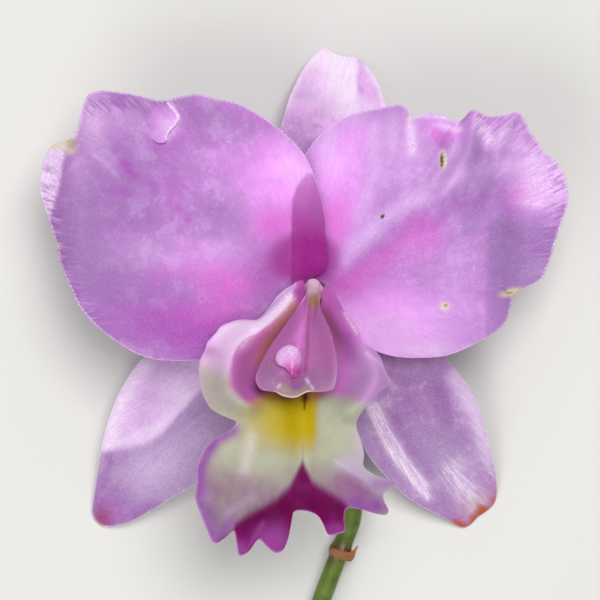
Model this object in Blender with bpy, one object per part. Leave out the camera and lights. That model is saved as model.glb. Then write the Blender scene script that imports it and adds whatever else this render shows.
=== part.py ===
# A cattleya bloom on its cut stem, lying face up on a table.
# World X is the viewer's right, Y is the way the top sepal points, Z is up.
# All driving dimensions below are millimetres; the meshes are made in metres.

import math

import bpy
import numpy as np

MM = 0.001

# Where the whole flower is put so that its box stands centred over the origin
SHIFT_X = -0.65
SHIFT_Y = 8.05

# Thickness of the blades
PETAL_THICKNESS = 0.65
SEPAL_THICKNESS = 0.70
LIP_THICKNESS = 0.65

# Hub: the top of the stem that carries all pieces of the bloom
HUB_X = 2.7
HUB_Y = 1.7
HUB_RADIUS = 2.3
HUB_BOTTOM = 19.0
HUB_TOP = 28.4

# Heights of the layers where they start at the hub
SEPAL_ROOT_HEIGHT = 22.6
RIGHT_PETAL_ROOT_HEIGHT = 25.6
LEFT_PETAL_ROOT_HEIGHT = 27.2

# Left petal: margin seen from above, clockwise from the top junction's opposite side
LEFT_PETAL_CENTRE = (-2.5, 1.9)
LEFT_PETAL_MARGIN = [
    (5.2, 6.4), (5.4, 10.5), (5.0, 17.5), (3.6, 24.0), (1.0, 30.2), (-2.1, 33.8),
    (-6.3, 37.3), (-10.5, 39.9), (-13.7, 41.5), (-17.8, 42.3), (-21.4, 43.2),
    (-25.2, 42.8), (-28.3, 42.1), (-31.9, 42.5), (-35.3, 43.4), (-38.9, 43.9),
    (-42.4, 44.1), (-44.9, 43.1), (-46.1, 40.3), (-46.9, 36.4), (-47.6, 34.5),
    (-49.4, 33.7), (-52.4, 33.0), (-54.2, 30.9), (-55.2, 27.4), (-55.4, 25.0),
    (-55.2, 22.8), (-54.6, 20.8), (-53.5, 17.2), (-51.6, 12.0), (-50.3, 7.0), (-47.3, 0.2),
    (-45.2, -2.9), (-42.0, -6.2), (-37.8, -9.3), (-33.6, -11.6), (-28.4, -12.7),
    (-21.0, -12.5), (-13.7, -10.4), (-8.0, -6.6), (-3.6, -2.6), (-0.9, -0.2),
    (-0.3, 1.6), (0.3, 3.4), (2.2, 4.6),
]

# Dog ear: its free edge at the right, and how softly it steps down
EAR_SIDE_Y = [32.6, 33.6, 35.4, 37.9, 38.7, 41.2, 44.0]
EAR_SIDE_X = [-29.0, -27.9, -26.6, -25.2, -25.4, -27.0, -28.5]
EAR_HEIGHT = 1.3
EAR_SOFTNESS = 1.2

# Right petal
RIGHT_PETAL_CENTRE = (7.8, 1.9)
RIGHT_PETAL_MARGIN = [
    (2.6, 4.9), (0.2, 7.6), (-1.6, 13.6), (-1.3, 22.0), (0.4, 29.0), (2.7, 33.0),
    (5.2, 35.5), (8.4, 37.8), (11.6, 39.3), (14.7, 39.9), (17.9, 40.5), (21.0, 41.1),
    (22.7, 40.1), (23.3, 38.3), (25.2, 39.0), (27.4, 39.5), (30.1, 38.9),
    (32.7, 37.8), (34.2, 38.1), (36.3, 40.0), (39.3, 38.9), (42.6, 38.9),
    (45.8, 39.6), (47.4, 38.3), (48.4, 36.0), (50.3, 33.3), (51.5, 31.2),
    (53.6, 29.8), (55.6, 27.3), (56.4, 24.6), (56.7, 21.8), (56.4, 19.4),
    (55.0, 15.3), (53.3, 9.4), (52.3, 6.4), (51.2, 4.6), (48.6, 3.0), (45.2, 1.3),
    (44.7, -0.8), (43.7, -4.0), (42.0, -6.0), (38.8, -8.1), (34.7, -10.3),
    (30.6, -11.8), (25.2, -12.2), (19.9, -11.8), (14.7, -10.1), (10.4, -6.6),
    (7.2, -2.9), (5.9, -0.6), (5.7, 1.4), (5.2, 3.3),
]

# Top sepal
TOP_SEPAL_CENTRE = (7.0, 32.0)
TOP_SEPAL_MARGIN = [
    (1.4, 4.8), (-0.6, 9.0), (-2.2, 14.0), (-4.2, 23.6), (-4.9, 32.0), (-4.3, 37.1),
    (-3.3, 41.2), (-1.9, 45.6), (1.2, 52.1), (4.4, 55.7), (5.7, 56.1), (7.7, 54.9),
    (9.6, 54.2), (12.3, 54.1), (14.2, 52.8), (16.4, 50.0), (17.9, 46.4), (19.0, 42.6),
    (19.3, 39.2), (18.5, 33.4), (16.2, 25.9), (11.7, 14.9), (7.8, 8.4), (5.0, 4.8),
    (3.2, 4.5),
]
TOP_SEPAL_TIP = (6.6, 56.0)

# Sepal at the lower left
LEFT_SEPAL_CENTRE = (-25.0, -24.0)
LEFT_SEPAL_MARGIN = [
    (-0.2, 1.2), (-4.4, 0.0), (-12.8, -3.2), (-21.5, -6.4), (-29.2, -9.8), (-34.1, -12.6),
    (-37.9, -17.4), (-40.2, -21.5), (-42.0, -26.1), (-43.2, -30.0), (-44.1, -34.0),
    (-44.9, -38.5), (-46.1, -45.2), (-46.3, -47.7), (-45.3, -49.5), (-43.7, -50.4),
    (-41.7, -50.4), (-37.6, -49.2), (-32.6, -46.3), (-28.0, -43.4), (-23.0, -40.2),
    (-16.4, -33.8), (-9.7, -24.9), (-5.4, -16.1), (-1.2, -6.0), (0.7, -1.3), (0.2, 0.2),
]
LEFT_SEPAL_TIP = (-44.2, -49.8)

# Sepal at the lower right
RIGHT_SEPAL_CENTRE = (26.0, -24.0)
RIGHT_SEPAL_MARGIN = [
    (5.6, 0.9), (8.5, 0.2), (17.0, -2.7), (25.7, -7.5), (31.5, -12.5), (34.3, -15.6),
    (37.1, -19.5), (39.2, -23.8), (40.6, -27.8), (41.7, -31.6), (42.8, -35.7),
    (43.6, -39.4), (43.8, -43.1), (43.1, -45.6), (41.3, -47.2), (39.6, -48.3),
    (37.8, -50.2), (36.1, -50.6), (32.7, -48.8), (29.5, -47.1), (26.8, -45.6),
    (23.4, -43.2), (21.1, -41.1), (19.1, -38.9), (16.2, -35.7), (14.4, -33.1),
    (12.8, -29.3), (12.1, -25.8), (11.0, -21.5), (9.5, -15.0), (6.8, -7.0), (4.9, -1.2),
    (5.3, 0.0),
]
RIGHT_SEPAL_TIP = (38.6, -49.0)

# Lip: two side lobes round the column and a toothed middle lobe
LIP_CENTRE = (1.0, -30.0)
LIP_MARGIN = [
    (-0.7, 3.8), (-1.6, 3.1), (-3.1, 2.2), (-4.7, 0.8), (-6.1, -1.0), (-7.5, -2.9),
    (-8.9, -4.0), (-12.2, -4.0), (-14.3, -4.5), (-16.3, -5.4), (-17.3, -6.7),
    (-19.0, -8.6), (-19.5, -10.2), (-20.3, -11.8), (-20.7, -13.6), (-20.6, -15.6),
    (-20.0, -18.8), (-19.2, -20.5), (-18.2, -22.0), (-16.3, -23.2), (-14.2, -24.1),
    (-13.0, -24.7), (-13.6, -25.9), (-15.4, -27.2), (-17.9, -28.6), (-19.9, -31.0),
    (-21.1, -34.1), (-21.0, -36.6), (-21.3, -39.0), (-21.4, -40.9), (-20.5, -43.6),
    (-19.3, -46.7), (-18.1, -49.6), (-17.1, -50.0), (-15.3, -48.7), (-13.6, -47.2),
    (-13.0, -49.8), (-12.5, -52.5), (-10.5, -51.6), (-8.5, -49.0), (-6.9, -50.4),
    (-5.1, -51.8), (-3.4, -51.2), (-2.4, -48.6), (-1.7, -45.0), (-1.3, -43.2),
    (0.3, -42.8), (2.1, -43.1), (3.7, -44.0), (4.8, -45.8), (5.8, -47.9), (7.8, -47.8),
    (9.2, -47.1), (9.0, -44.8), (9.5, -42.4), (12.3, -42.6), (15.4, -43.6),
    (17.6, -43.9), (18.1, -42.9), (17.2, -41.0), (17.1, -39.4), (19.0, -38.2),
    (19.6, -37.3), (17.6, -36.4), (14.9, -35.3), (12.9, -33.6), (13.0, -31.1),
    (12.3, -28.4), (11.7, -26.6), (11.5, -24.4), (13.2, -21.5), (14.8, -19.8),
    (16.6, -18.3), (18.4, -16.7), (17.4, -14.5), (16.2, -11.3), (14.3, -9.6),
    (12.8, -8.6), (12.1, -6.7), (11.0, -4.7), (9.1, -2.2), (7.4, 0.8), (6.2, 2.7),
    (5.2, 3.0), (4.8, 1.9), (4.5, 0.0), (4.1, -1.4), (2.9, -2.0), (1.7, -1.5),
    (1.15, 0.0), (1.05, 2.0), (0.85, 3.6), (0.3, 4.1),
]
# The crest over which the left side lobe folds outward, and the crest of the right one
LIP_LEFT_CREST = [
    (-0.6, 2.8), (-3.0, -1.8), (-6.5, -4.8), (-9.8, -7.1), (-12.6, -10.2),
    (-14.0, -14.6), (-13.4, -18.4), (-10.6, -21.2),
]
LIP_RIGHT_CREST = [
    (5.8, 1.6), (8.6, -2.4), (11.2, -6.2), (13.6, -10.4), (15.4, -14.8), (13.4, -19.6),
    (10.6, -23.0),
]
LIP_GROOVE = [
    (2.7, -1.0), (0.8, -8.0), (-0.6, -16.0), (0.6, -24.0), (0.8, -34.0),
]
LIP_CREST_WIDTH = 3.4
LIP_LEFT_CREST_HEIGHT = 4.6
LIP_RIGHT_CREST_HEIGHT = 5.4
LIP_GROOVE_WIDTH = 3.2
LIP_GROOVE_DEPTH = 2.2

# Column: broad and winged, wider towards its end
COLUMN_CENTRE = (0.6, -9.0)
COLUMN_MARGIN = [
    (1.6, 3.9), (1.3, 1.5), (-0.5, -1.4), (-3.4, -5.6), (-6.4, -10.0), (-8.5, -14.2),
    (-8.9, -16.2), (-7.8, -18.0), (-5.0, -18.5), (-3.4, -19.3), (-1.0, -19.6),
    (1.6, -18.5), (4.2, -18.5), (6.6, -18.0), (7.2, -16.6), (7.5, -13.0), (6.5, -7.2),
    (5.2, -4.0), (4.2, -1.6), (4.2, 1.6), (4.1, 3.6), (2.8, 4.4),
]
COLUMN_EDGE_THICKNESS = 0.9
COLUMN_CLEARANCE = 0.55
FOOT_REACH = 1.25
COLUMN_BACK = [
    (1.6, 3.2), (1.9, -2.4), (-0.6, -8.6), (-1.8, -14.4),
]
COLUMN_BACK_WIDTH = 4.2
COLUMN_BACK_HEIGHT = 2.6

# Anther cap on the end of the column
CAP_CENTRE = (-2.2, -11.6)
CAP_MARGIN = [
    (-1.8, -9.0), (-0.6, -9.6), (0.2, -10.9), (0.3, -12.4), (0.0, -13.9), (-0.6, -15.1),
    (-1.5, -15.3), (-2.2, -14.4), (-3.0, -13.5), (-4.3, -12.9), (-4.9, -11.7),
    (-4.4, -10.3), (-3.2, -9.3),
]
CAP_HEIGHT = 1.9
CAP_GAP = 0.35

# Stem: from the hub down behind the lip, then along the table
STEM_PATH = [
    (2.7, 1.7, 22.0), (2.7, 1.7, 17.5), (3.1, 0.2, 12.6), (4.4, -5.0, 8.7),
    (6.6, -14.0, 6.6), (9.0, -28.0, 5.4), (11.2, -42.0, 4.9), (11.5, -48.0, 4.8),
    (8.9, -55.2, 4.7), (5.2, -65.0, 4.5), (2.9, -71.5, 4.4),
]
STEM_RADIUS = 2.05
STEM_NECK_RADIUS = 1.75
STEM_JOINT_X = 8.83
STEM_JOINT_Y = -55.4
STEM_JOINT_Z = 4.7
STEM_JOINT_SWELL = 0.55
STEM_JOINT_LENGTH = 1.3

# Dry bract wrapped over the joint of the stem, unrolled: round the stem, then along it
BRACT_MARGIN = [
    (-4.4, -1.2), (-2.0, -1.3), (0.6, -1.3), (2.6, -1.2), (3.3, -0.4), (3.1, 1.0),
    (2.8, 2.6), (1.6, 1.5), (0.0, 0.8), (-2.0, 0.6), (-4.0, 0.4), (-4.9, -0.4),
]
BRACT_CENTRE = (0.6, -0.2)
BRACT_MIDDLE_DEGREES = 35.0
BRACT_CLEARANCE = 0.42
BRACT_THICKNESS = 0.7

# Mesh density
PETAL_RINGS = 10
SEPAL_RINGS = 8
LIP_RINGS = 13
COLUMN_RINGS = 7
STEM_SIDES = 20
STEM_STEPS = 5


def smooth(value):
    value = np.clip(value, 0.0, 1.0)
    return value * value * (3.0 - 2.0 * value)


def reach(x, y, path):
    """Distance from each place to a path of straight pieces."""
    best = np.full(np.shape(x), 1.0e9)
    for (ax, ay), (bx, by) in zip(path[:-1], path[1:]):
        run_x = bx - ax
        run_y = by - ay
        along = ((x - ax) * run_x + (y - ay) * run_y) / (run_x ** 2 + run_y ** 2)
        along = np.clip(along, 0.0, 1.0)
        away = np.hypot(x - ax - along * run_x, y - ay - along * run_y)
        best = np.minimum(best, away)
    return best


def ridge(x, y, path, width, height):
    """A rounded fold along a path."""
    return height * np.exp(-(reach(x, y, path) / width) ** 2)


def dome(x, y, centre, radius, height):
    """A rounded swelling about one place."""
    away = np.hypot(x - centre[0], y - centre[1])
    return height * np.exp(-(away / radius) ** 2)


def from_hub(x, y):
    return np.hypot(x - HUB_X, y - HUB_Y)


def ear_share(x, y):
    """Share of 1 on the dog ear that is folded forward at the top of the left petal."""
    side = np.interp(y, EAR_SIDE_Y, EAR_SIDE_X)
    foot = np.interp(-x, [25.0, 29.0, 33.0, 37.0], [33.0, 33.0, 34.0, 36.5])
    share = smooth((side - x) / EAR_SOFTNESS + 0.5) * smooth((y - foot) / EAR_SOFTNESS + 0.5)
    return share * smooth((x + 37.0) / 7.0)


def left_petal_height(x, y):
    away = from_hub(x, y)
    height = LEFT_PETAL_ROOT_HEIGHT + 2.1 * np.sin(math.pi * np.clip(away / 46.0, 0.0, 1.0))
    height -= 0.0022 * np.clip(away - 22.0, 0.0, None) ** 2
    # the edge at the far left bends back
    height -= 3.4 * smooth((-46.5 - x) / 9.0)
    # the lower edge bends back a little
    height -= 1.9 * smooth((-4.0 - y) / 10.0) * smooth((-x - 4.0) / 12.0)
    # soft waves that run out from the claw
    height += ridge(x, y, [(-14.0, 16.0), (-27.0, 30.0), (-34.0, 40.0)], 4.5, 0.8)
    height += ridge(x, y, [(-16.0, 4.0), (-34.0, 8.0), (-46.0, 10.0)], 6.0, 0.7)
    height -= ridge(x, y, [(-12.0, 10.0), (-30.0, 20.0), (-44.0, 26.0)], 4.5, 0.6)
    # the dog ear at the top is folded forward over the petal
    height += EAR_HEIGHT * ear_share(x, y)
    return height


def right_petal_height(x, y):
    away = from_hub(x, y)
    height = RIGHT_PETAL_ROOT_HEIGHT + 2.4 * np.sin(math.pi * np.clip(away / 46.0, 0.0, 1.0))
    height -= 0.0012 * np.clip(away - 22.0, 0.0, None) ** 2
    height -= 1.8 * smooth((-3.0 - y) / 10.0) * smooth((x - 12.0) / 12.0)
    # folds at the upper right
    height += ridge(x, y, [(30.0, 22.0), (35.5, 31.0), (36.5, 40.0)], 1.9, 1.3)
    height -= ridge(x, y, [(28.0, 24.0), (32.5, 32.0), (33.6, 39.0)], 1.7, 0.9)
    height += ridge(x, y, [(36.0, 22.0), (41.0, 31.0), (43.8, 39.0)], 2.2, 0.9)
    height -= ridge(x, y, [(34.0, 20.0), (39.3, 30.0), (40.0, 38.0)], 1.7, 0.7)
    height += ridge(x, y, [(8.0, 4.5), (13.0, 12.0), (23.0, 18.5), (34.0, 25.0)], 3.6, 0.9)
    height -= ridge(x, y, [(10.0, 3.5), (17.0, 9.0), (26.0, 14.0), (34.0, 16.0)], 3.2, 0.8)
    # the shaded end at the right stands back
    height -= 2.2 * smooth((x - 39.0) / 8.0) * smooth((30.0 - y) / 14.0)
    height += dome(x, y, (49.0, 23.0), 6.0, 1.2)
    return height


def sepal_height(x, y, tip, bow, drop):
    """A blade that leaves the hub level and bends back until its tip is on the table."""
    run_x = tip[0] - HUB_X
    run_y = tip[1] - HUB_Y
    run = math.hypot(run_x, run_y)
    along = ((x - HUB_X) * run_x + (y - HUB_Y) * run_y) / run ** 2
    across = ((y - HUB_Y) * run_x - (x - HUB_X) * run_y) / run
    along = np.clip(along, 0.0, 1.2)
    height = SEPAL_ROOT_HEIGHT - drop * along ** 1.45
    height -= bow * (across / 14.0) ** 2
    return height, along, across


def top_sepal_height(x, y):
    height, along, across = sepal_height(x, y, TOP_SEPAL_TIP, 2.2, 21.97)
    height += ridge(x, y, [(4.6, 20.0), (7.4, 42.0), (11.5, 53.0)], 1.2, 0.45)
    return height


def left_sepal_height(x, y):
    height, along, across = sepal_height(x, y, LEFT_SEPAL_TIP, 2.0, 21.77)
    height += ridge(x, y, [(-16.0, -21.0), (-26.0, -28.5), (-36.0, -37.0), (-44.0, -47.0)], 1.4, 0.6)
    return height


def right_sepal_height(x, y):
    height, along, across = sepal_height(x, y, RIGHT_SEPAL_TIP, 2.4, 21.68)
    height += ridge(x, y, [(15.4, -24.4), (22.0, -34.0), (29.5, -44.5)], 1.5, 0.8)
    return height


LIP_MIDLINE_Y = [4.0, 1.0, -3.0, -8.0, -14.0, -20.0, -26.0, -33.0, -40.0, -47.0, -53.0]
LIP_MIDLINE_Z = [30.6, 30.7, 31.4, 33.2, 35.0, 36.7, 38.4, 39.4, 38.6, 36.4, 34.0]


def lip_height(x, y):
    height = np.interp(-y, [-v for v in LIP_MIDLINE_Y], LIP_MIDLINE_Z)
    # the crests start low beside the hub
    grow = smooth((4.5 - y) / 12.0)
    fade = smooth((y + 28.0) / 8.0)
    height += ridge(x, y, LIP_LEFT_CREST, LIP_CREST_WIDTH, LIP_LEFT_CREST_HEIGHT) * grow * fade
    height += ridge(x, y, LIP_RIGHT_CREST, LIP_CREST_WIDTH, LIP_RIGHT_CREST_HEIGHT) * grow * fade
    height -= ridge(x, y, LIP_GROOVE, LIP_GROOVE_WIDTH, LIP_GROOVE_DEPTH) * smooth((1.0 - y) / 8.0)
    # the middle lobe is arched across and its halves bow down
    middle = smooth((-26.0 - y) / 8.0)
    height -= 0.011 * middle * np.clip(np.abs(x) - 5.0, 0.0, None) ** 2
    height += ridge(x, y, [(-9.0, -34.0), (-13.0, -44.0)], 4.0, 1.2) * middle
    height += ridge(x, y, [(9.0, -33.0), (12.0, -39.0)], 3.4, 0.8) * middle
    return height


def column_height(x, y):
    base = np.interp(-y, [-4.5, 0.0, 5.0, 10.0, 15.0, 20.0], [31.6, 33.2, 37.6, 40.8, 42.6, 42.8])
    height = base + ridge(x, y, COLUMN_BACK, COLUMN_BACK_WIDTH, COLUMN_BACK_HEIGHT)
    return height


def column_floor(x, y):
    """Underside of the column, clear of the groove of the lip."""
    return np.interp(-y, [-4.5, -1.0, 1.0, 5.0, 10.0, 15.0, 20.0],
                     [28.8, 28.8, 30.2, 34.6, 37.2, 39.2, 40.8])


def margin_curve(keys, parts):
    """Smooth closed curve through the key places, with the key count along it."""
    keys = np.array(keys)
    count = len(keys)
    places = []
    marks = []
    for i in range(count):
        before = keys[i - 1]
        here = keys[i]
        after = keys[(i + 1) % count]
        beyond = keys[(i + 2) % count]
        for j in range(parts):
            t = j / parts
            leave = 0.5 * (after - before)
            arrive = 0.5 * (beyond - here)
            gap = np.linalg.norm(after - here)
            leave = leave * min(1.0, gap / max(np.linalg.norm(leave), 1.0e-6))
            arrive = arrive * min(1.0, gap / max(np.linalg.norm(arrive), 1.0e-6))
            a = 2 * t ** 3 - 3 * t ** 2 + 1
            b = t ** 3 - 2 * t ** 2 + t
            c = -2 * t ** 3 + 3 * t ** 2
            d = t ** 3 - t ** 2
            places.append(a * here + b * leave + c * after + d * arrive)
            marks.append(i + t)
    return np.array(places), np.array(marks)


def ring_fractions(rings):
    """Rings stand closer together towards the margin."""
    steps = np.arange(1, rings + 1) / rings
    return 1.0 - (1.0 - steps) ** 1.35


def grid_faces(rings, sectors):
    """Triangles of one face: a fan at the middle, then split squares out to the margin."""
    faces = []
    for j in range(sectors):
        after = (j + 1) % sectors
        faces.append((0, 1 + j, 1 + after))
    for i in range(rings - 1):
        low = 1 + i * sectors
        high = low + sectors
        for j in range(sectors):
            after = (j + 1) % sectors
            faces.append((low + j, high + j, high + after))
            faces.append((low + j, high + after, low + after))
    return faces


def slope_normals(x, y, height):
    """Direction square to a height field at each place."""
    step = 0.05
    run_x = (height(x + step, y) - height(x - step, y)) / (2.0 * step)
    run_y = (height(x, y + step) - height(x, y - step)) / (2.0 * step)
    length = np.sqrt(1.0 + run_x ** 2 + run_y ** 2)
    return np.column_stack([-run_x / length, -run_y / length, 1.0 / length])


def close_sheet(top, bottom, faces, rings, sectors):
    """Join an upper and a lower face of one layout along their margin."""
    count = len(top)
    points = np.vstack([top, bottom])
    all_faces = list(faces)
    for a, b, c in faces:
        all_faces.append((count + a, count + c, count + b))
    rim = 1 + (rings - 1) * sectors
    for j in range(sectors):
        after = (j + 1) % sectors
        all_faces.append((rim + j, count + rim + j, count + rim + after))
        all_faces.append((rim + j, count + rim + after, rim + after))
    return points, all_faces


def one_way(turn):
    """The same row of angles, made to rise all the way."""
    rising = np.maximum.accumulate(turn)
    falling = np.minimum.accumulate(turn[::-1])[::-1]
    return 0.5 * (rising + falling) + 1.0e-5 * np.arange(len(turn)) / len(turn)


def lay_grid(centre, keys, rings, parts):
    """Places of one face, ring by ring, with ring fraction and key mark of each."""
    centre = np.array(centre)
    margin, marks = margin_curve(keys, parts)
    away = margin - centre
    onward = np.roll(away, -1, axis=0)
    if (away[:, 0] * onward[:, 1] - away[:, 1] * onward[:, 0]).sum() < 0:
        margin = margin[::-1]
        marks = marks[::-1]
    away = margin - centre
    radius = np.hypot(away[:, 0], away[:, 1])
    true_turn = np.unwrap(np.arctan2(away[:, 1], away[:, 0]))
    turn = one_way(true_turn)
    fractions = ring_fractions(rings)
    places = [centre[None, :]]
    for fraction in fractions:
        angle = turn + (true_turn - turn) * fraction ** 10
        places.append(centre + fraction * np.column_stack([radius * np.cos(angle),
                                                           radius * np.sin(angle)]))
    ring = np.concatenate([[0.0], np.repeat(fractions, len(margin))])
    mark = np.concatenate([[0.0], np.tile(marks, rings)])
    return np.vstack(places), ring, mark, len(margin)


def ruffle(x, y, ring, mark, size):
    """Slow waves of the margin, none near the hub."""
    strength = size * smooth((from_hub(x, y) - 14.0) / 14.0) * ring ** 5
    return strength * (np.sin(2.0 * math.pi * mark / 5.0 + 0.7)
                       + 0.6 * np.sin(2.0 * math.pi * mark / 3.3 + 2.1))


def blade(name, centre, keys, height, thickness, rings, parts, wave):
    flat, ring, mark, sectors = lay_grid(centre, keys, rings, parts)
    x = flat[:, 0]
    y = flat[:, 1]
    z = height(x, y) + ruffle(x, y, ring, mark, wave)
    top = np.column_stack([x, y, z])
    faces = grid_faces(rings, sectors)
    bottom = top - thickness * slope_normals(x, y, height)
    points, all_faces = close_sheet(top, bottom, faces, rings, sectors)
    return make_object(name, points, all_faces)


def make_column():
    flat, ring, mark, sectors = lay_grid(COLUMN_CENTRE, COLUMN_MARGIN, COLUMN_RINGS, 1)
    x = flat[:, 0]
    y = flat[:, 1]
    high = column_height(x, y)
    low = column_floor(x, y)
    # the wings thin out towards the edge
    edge = smooth((ring - 0.45) / 0.55)
    middle = 0.5 * (high + low)
    high = high - edge * (high - middle - 0.5 * COLUMN_EDGE_THICKNESS)
    low = low + edge * (middle - low - 0.5 * COLUMN_EDGE_THICKNESS)
    # but the foot stays stout where it stands on the hub
    foot = smooth((y + 1.5) / 3.0)
    low = low * (1.0 - foot) + column_floor(x, y) * foot
    # and everywhere it clears the lip below it
    clear = lip_height(x, y) + COLUMN_CLEARANCE
    low = np.where(from_hub(x, y) > FOOT_REACH, np.maximum(low, clear), low)
    high = np.maximum(high, low + COLUMN_EDGE_THICKNESS)
    faces = grid_faces(COLUMN_RINGS, sectors)
    points, all_faces = close_sheet(np.column_stack([x, y, high]),
                                    np.column_stack([x, y, low]),
                                    faces, COLUMN_RINGS, sectors)
    return make_object("column", points, all_faces)


def column_top(x, y):
    """Upper side of the column under the anther cap."""
    return column_height(x, y)


def make_cap():
    flat, ring, mark, sectors = lay_grid(CAP_CENTRE, CAP_MARGIN, 6, 2)
    x = flat[:, 0]
    y = flat[:, 1]
    low = column_top(x, y) + CAP_GAP
    high = low + 0.7 + (CAP_HEIGHT - 0.7) * np.sqrt(np.clip(1.0 - (0.96 * ring) ** 2, 0.0, 1.0))
    faces = grid_faces(6, sectors)
    points, all_faces = close_sheet(np.column_stack([x, y, high]),
                                    np.column_stack([x, y, low]), faces, 6, sectors)
    return make_object("anther_cap", points, all_faces)


def path_curve(keys, parts):
    keys = np.array(keys)
    places = []
    last = len(keys) - 1
    for i in range(last):
        before = keys[max(i - 1, 0)]
        here = keys[i]
        after = keys[i + 1]
        beyond = keys[min(i + 2, last)]
        for j in range(parts):
            t = j / parts
            leave = 0.5 * (after - before)
            arrive = 0.5 * (beyond - here)
            a = 2 * t ** 3 - 3 * t ** 2 + 1
            b = t ** 3 - 2 * t ** 2 + t
            c = -2 * t ** 3 + 3 * t ** 2
            d = t ** 3 - t ** 2
            places.append(a * here + b * leave + c * after + d * arrive)
    places.append(keys[last])
    return np.array(places)


def make_stem():
    path = path_curve(STEM_PATH[1:], STEM_STEPS)
    knob_heights = [HUB_TOP, HUB_TOP - 0.35, 26.0, 23.0, 20.8]
    knob_radii = [HUB_RADIUS - 0.45, HUB_RADIUS, HUB_RADIUS, HUB_RADIUS, 2.1]
    centres = [np.array([HUB_X, HUB_Y, h]) for h in knob_heights]
    radii = list(knob_radii)
    lengths = np.concatenate([[0.0], np.cumsum(np.linalg.norm(np.diff(path, axis=0), axis=1))])
    for place, run in zip(path, lengths):
        centres.append(place)
        grown = float(smooth(run / 9.0))
        radius = STEM_NECK_RADIUS + (STEM_RADIUS - STEM_NECK_RADIUS) * grown
        swell = math.exp(-((place[1] - STEM_JOINT_Y) / STEM_JOINT_LENGTH) ** 2)
        radii.append(radius + STEM_JOINT_SWELL * swell)
    centres = np.array(centres)
    points = []
    side = np.array([1.0, 0.0, 0.0])
    for i, centre in enumerate(centres):
        run = centres[min(i + 1, len(centres) - 1)] - centres[max(i - 1, 0)]
        run = run / np.linalg.norm(run)
        side = side - run * np.dot(side, run)
        side = side / np.linalg.norm(side)
        other = np.cross(run, side)
        for j in range(STEM_SIDES):
            turn = 2.0 * math.pi * j / STEM_SIDES
            points.append(centre + radii[i] * (math.cos(turn) * side + math.sin(turn) * other))
    count = len(centres)
    points.append(centres[0])
    points.append(centres[-1])
    first = count * STEM_SIDES
    faces = []
    for i in range(count - 1):
        low = i * STEM_SIDES
        high = low + STEM_SIDES
        for j in range(STEM_SIDES):
            after = (j + 1) % STEM_SIDES
            faces.append((low + j, low + after, high + after))
            faces.append((low + j, high + after, high + j))
    end = (count - 1) * STEM_SIDES
    for j in range(STEM_SIDES):
        after = (j + 1) % STEM_SIDES
        faces.append((first, after, j))
        faces.append((first + 1, end + j, end + after))
    return make_object("stem", np.array(points), faces)


def bract_places(along, across, out):
    """Places on the sheath: out is the height over the skin of the stem."""
    lean = math.atan2(8.9 - 5.2, 65.0 - 55.2)
    turn = math.radians(BRACT_MIDDLE_DEGREES) + across / 3.3
    skin = STEM_RADIUS + STEM_JOINT_SWELL * np.exp(-(along / STEM_JOINT_LENGTH) ** 2)
    reach_out = skin + BRACT_CLEARANCE + 0.16 * np.clip(along, 0.0, None) ** 1.5 + out
    side = reach_out * np.sin(turn)
    return np.column_stack([
        STEM_JOINT_X + along * math.sin(lean) + side * math.cos(lean),
        STEM_JOINT_Y + along * math.cos(lean) - side * math.sin(lean),
        STEM_JOINT_Z + reach_out * np.cos(turn),
    ])


def make_bract():
    """A dry pointed sheath that covers the upper side of the joint."""
    flat, ring, mark, sectors = lay_grid(BRACT_CENTRE, BRACT_MARGIN, 4, 2)
    faces = grid_faces(4, sectors)
    top = bract_places(flat[:, 1], flat[:, 0], BRACT_THICKNESS)
    bottom = bract_places(flat[:, 1], flat[:, 0], 0.0)
    points, all_faces = close_sheet(top, bottom, faces, 4, sectors)
    return make_object("bract", points, all_faces)


def make_material(name, colour, roughness):
    material = bpy.data.materials.new(name)
    material.use_nodes = True
    shader = material.node_tree.nodes["Principled BSDF"]
    shader.inputs["Base Color"].default_value = (colour[0], colour[1], colour[2], 1.0)
    shader.inputs["Roughness"].default_value = roughness
    return material


COLOURS = {
    "stem": (0.09, 0.15, 0.02),
    "top_sepal": (0.55, 0.30, 0.62),
    "left_sepal": (0.55, 0.30, 0.62),
    "right_sepal": (0.55, 0.30, 0.62),
    "left_petal": (0.52, 0.26, 0.62),
    "right_petal": (0.50, 0.24, 0.60),
    "lip": (0.76, 0.70, 0.62),
    "column": (0.50, 0.15, 0.42),
    "anther_cap": (0.80, 0.52, 0.76),
    "bract": (0.35, 0.16, 0.05),
}


def make_object(name, points, faces):
    moved = (np.array(points) + np.array([SHIFT_X, SHIFT_Y, 0.0])) * MM
    mesh = bpy.data.meshes.new(name)
    mesh.from_pydata([tuple(p) for p in moved], [], [tuple(f) for f in faces])
    mesh.validate()
    mesh.update()
    for polygon in mesh.polygons:
        polygon.use_smooth = True
    mesh.materials.append(make_material(name + "_skin", COLOURS[name], 0.55))
    piece = bpy.data.objects.new(name, mesh)
    bpy.context.scene.collection.objects.link(piece)
    return piece


for old in list(bpy.data.objects):
    bpy.data.objects.remove(old, do_unlink=True)

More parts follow.
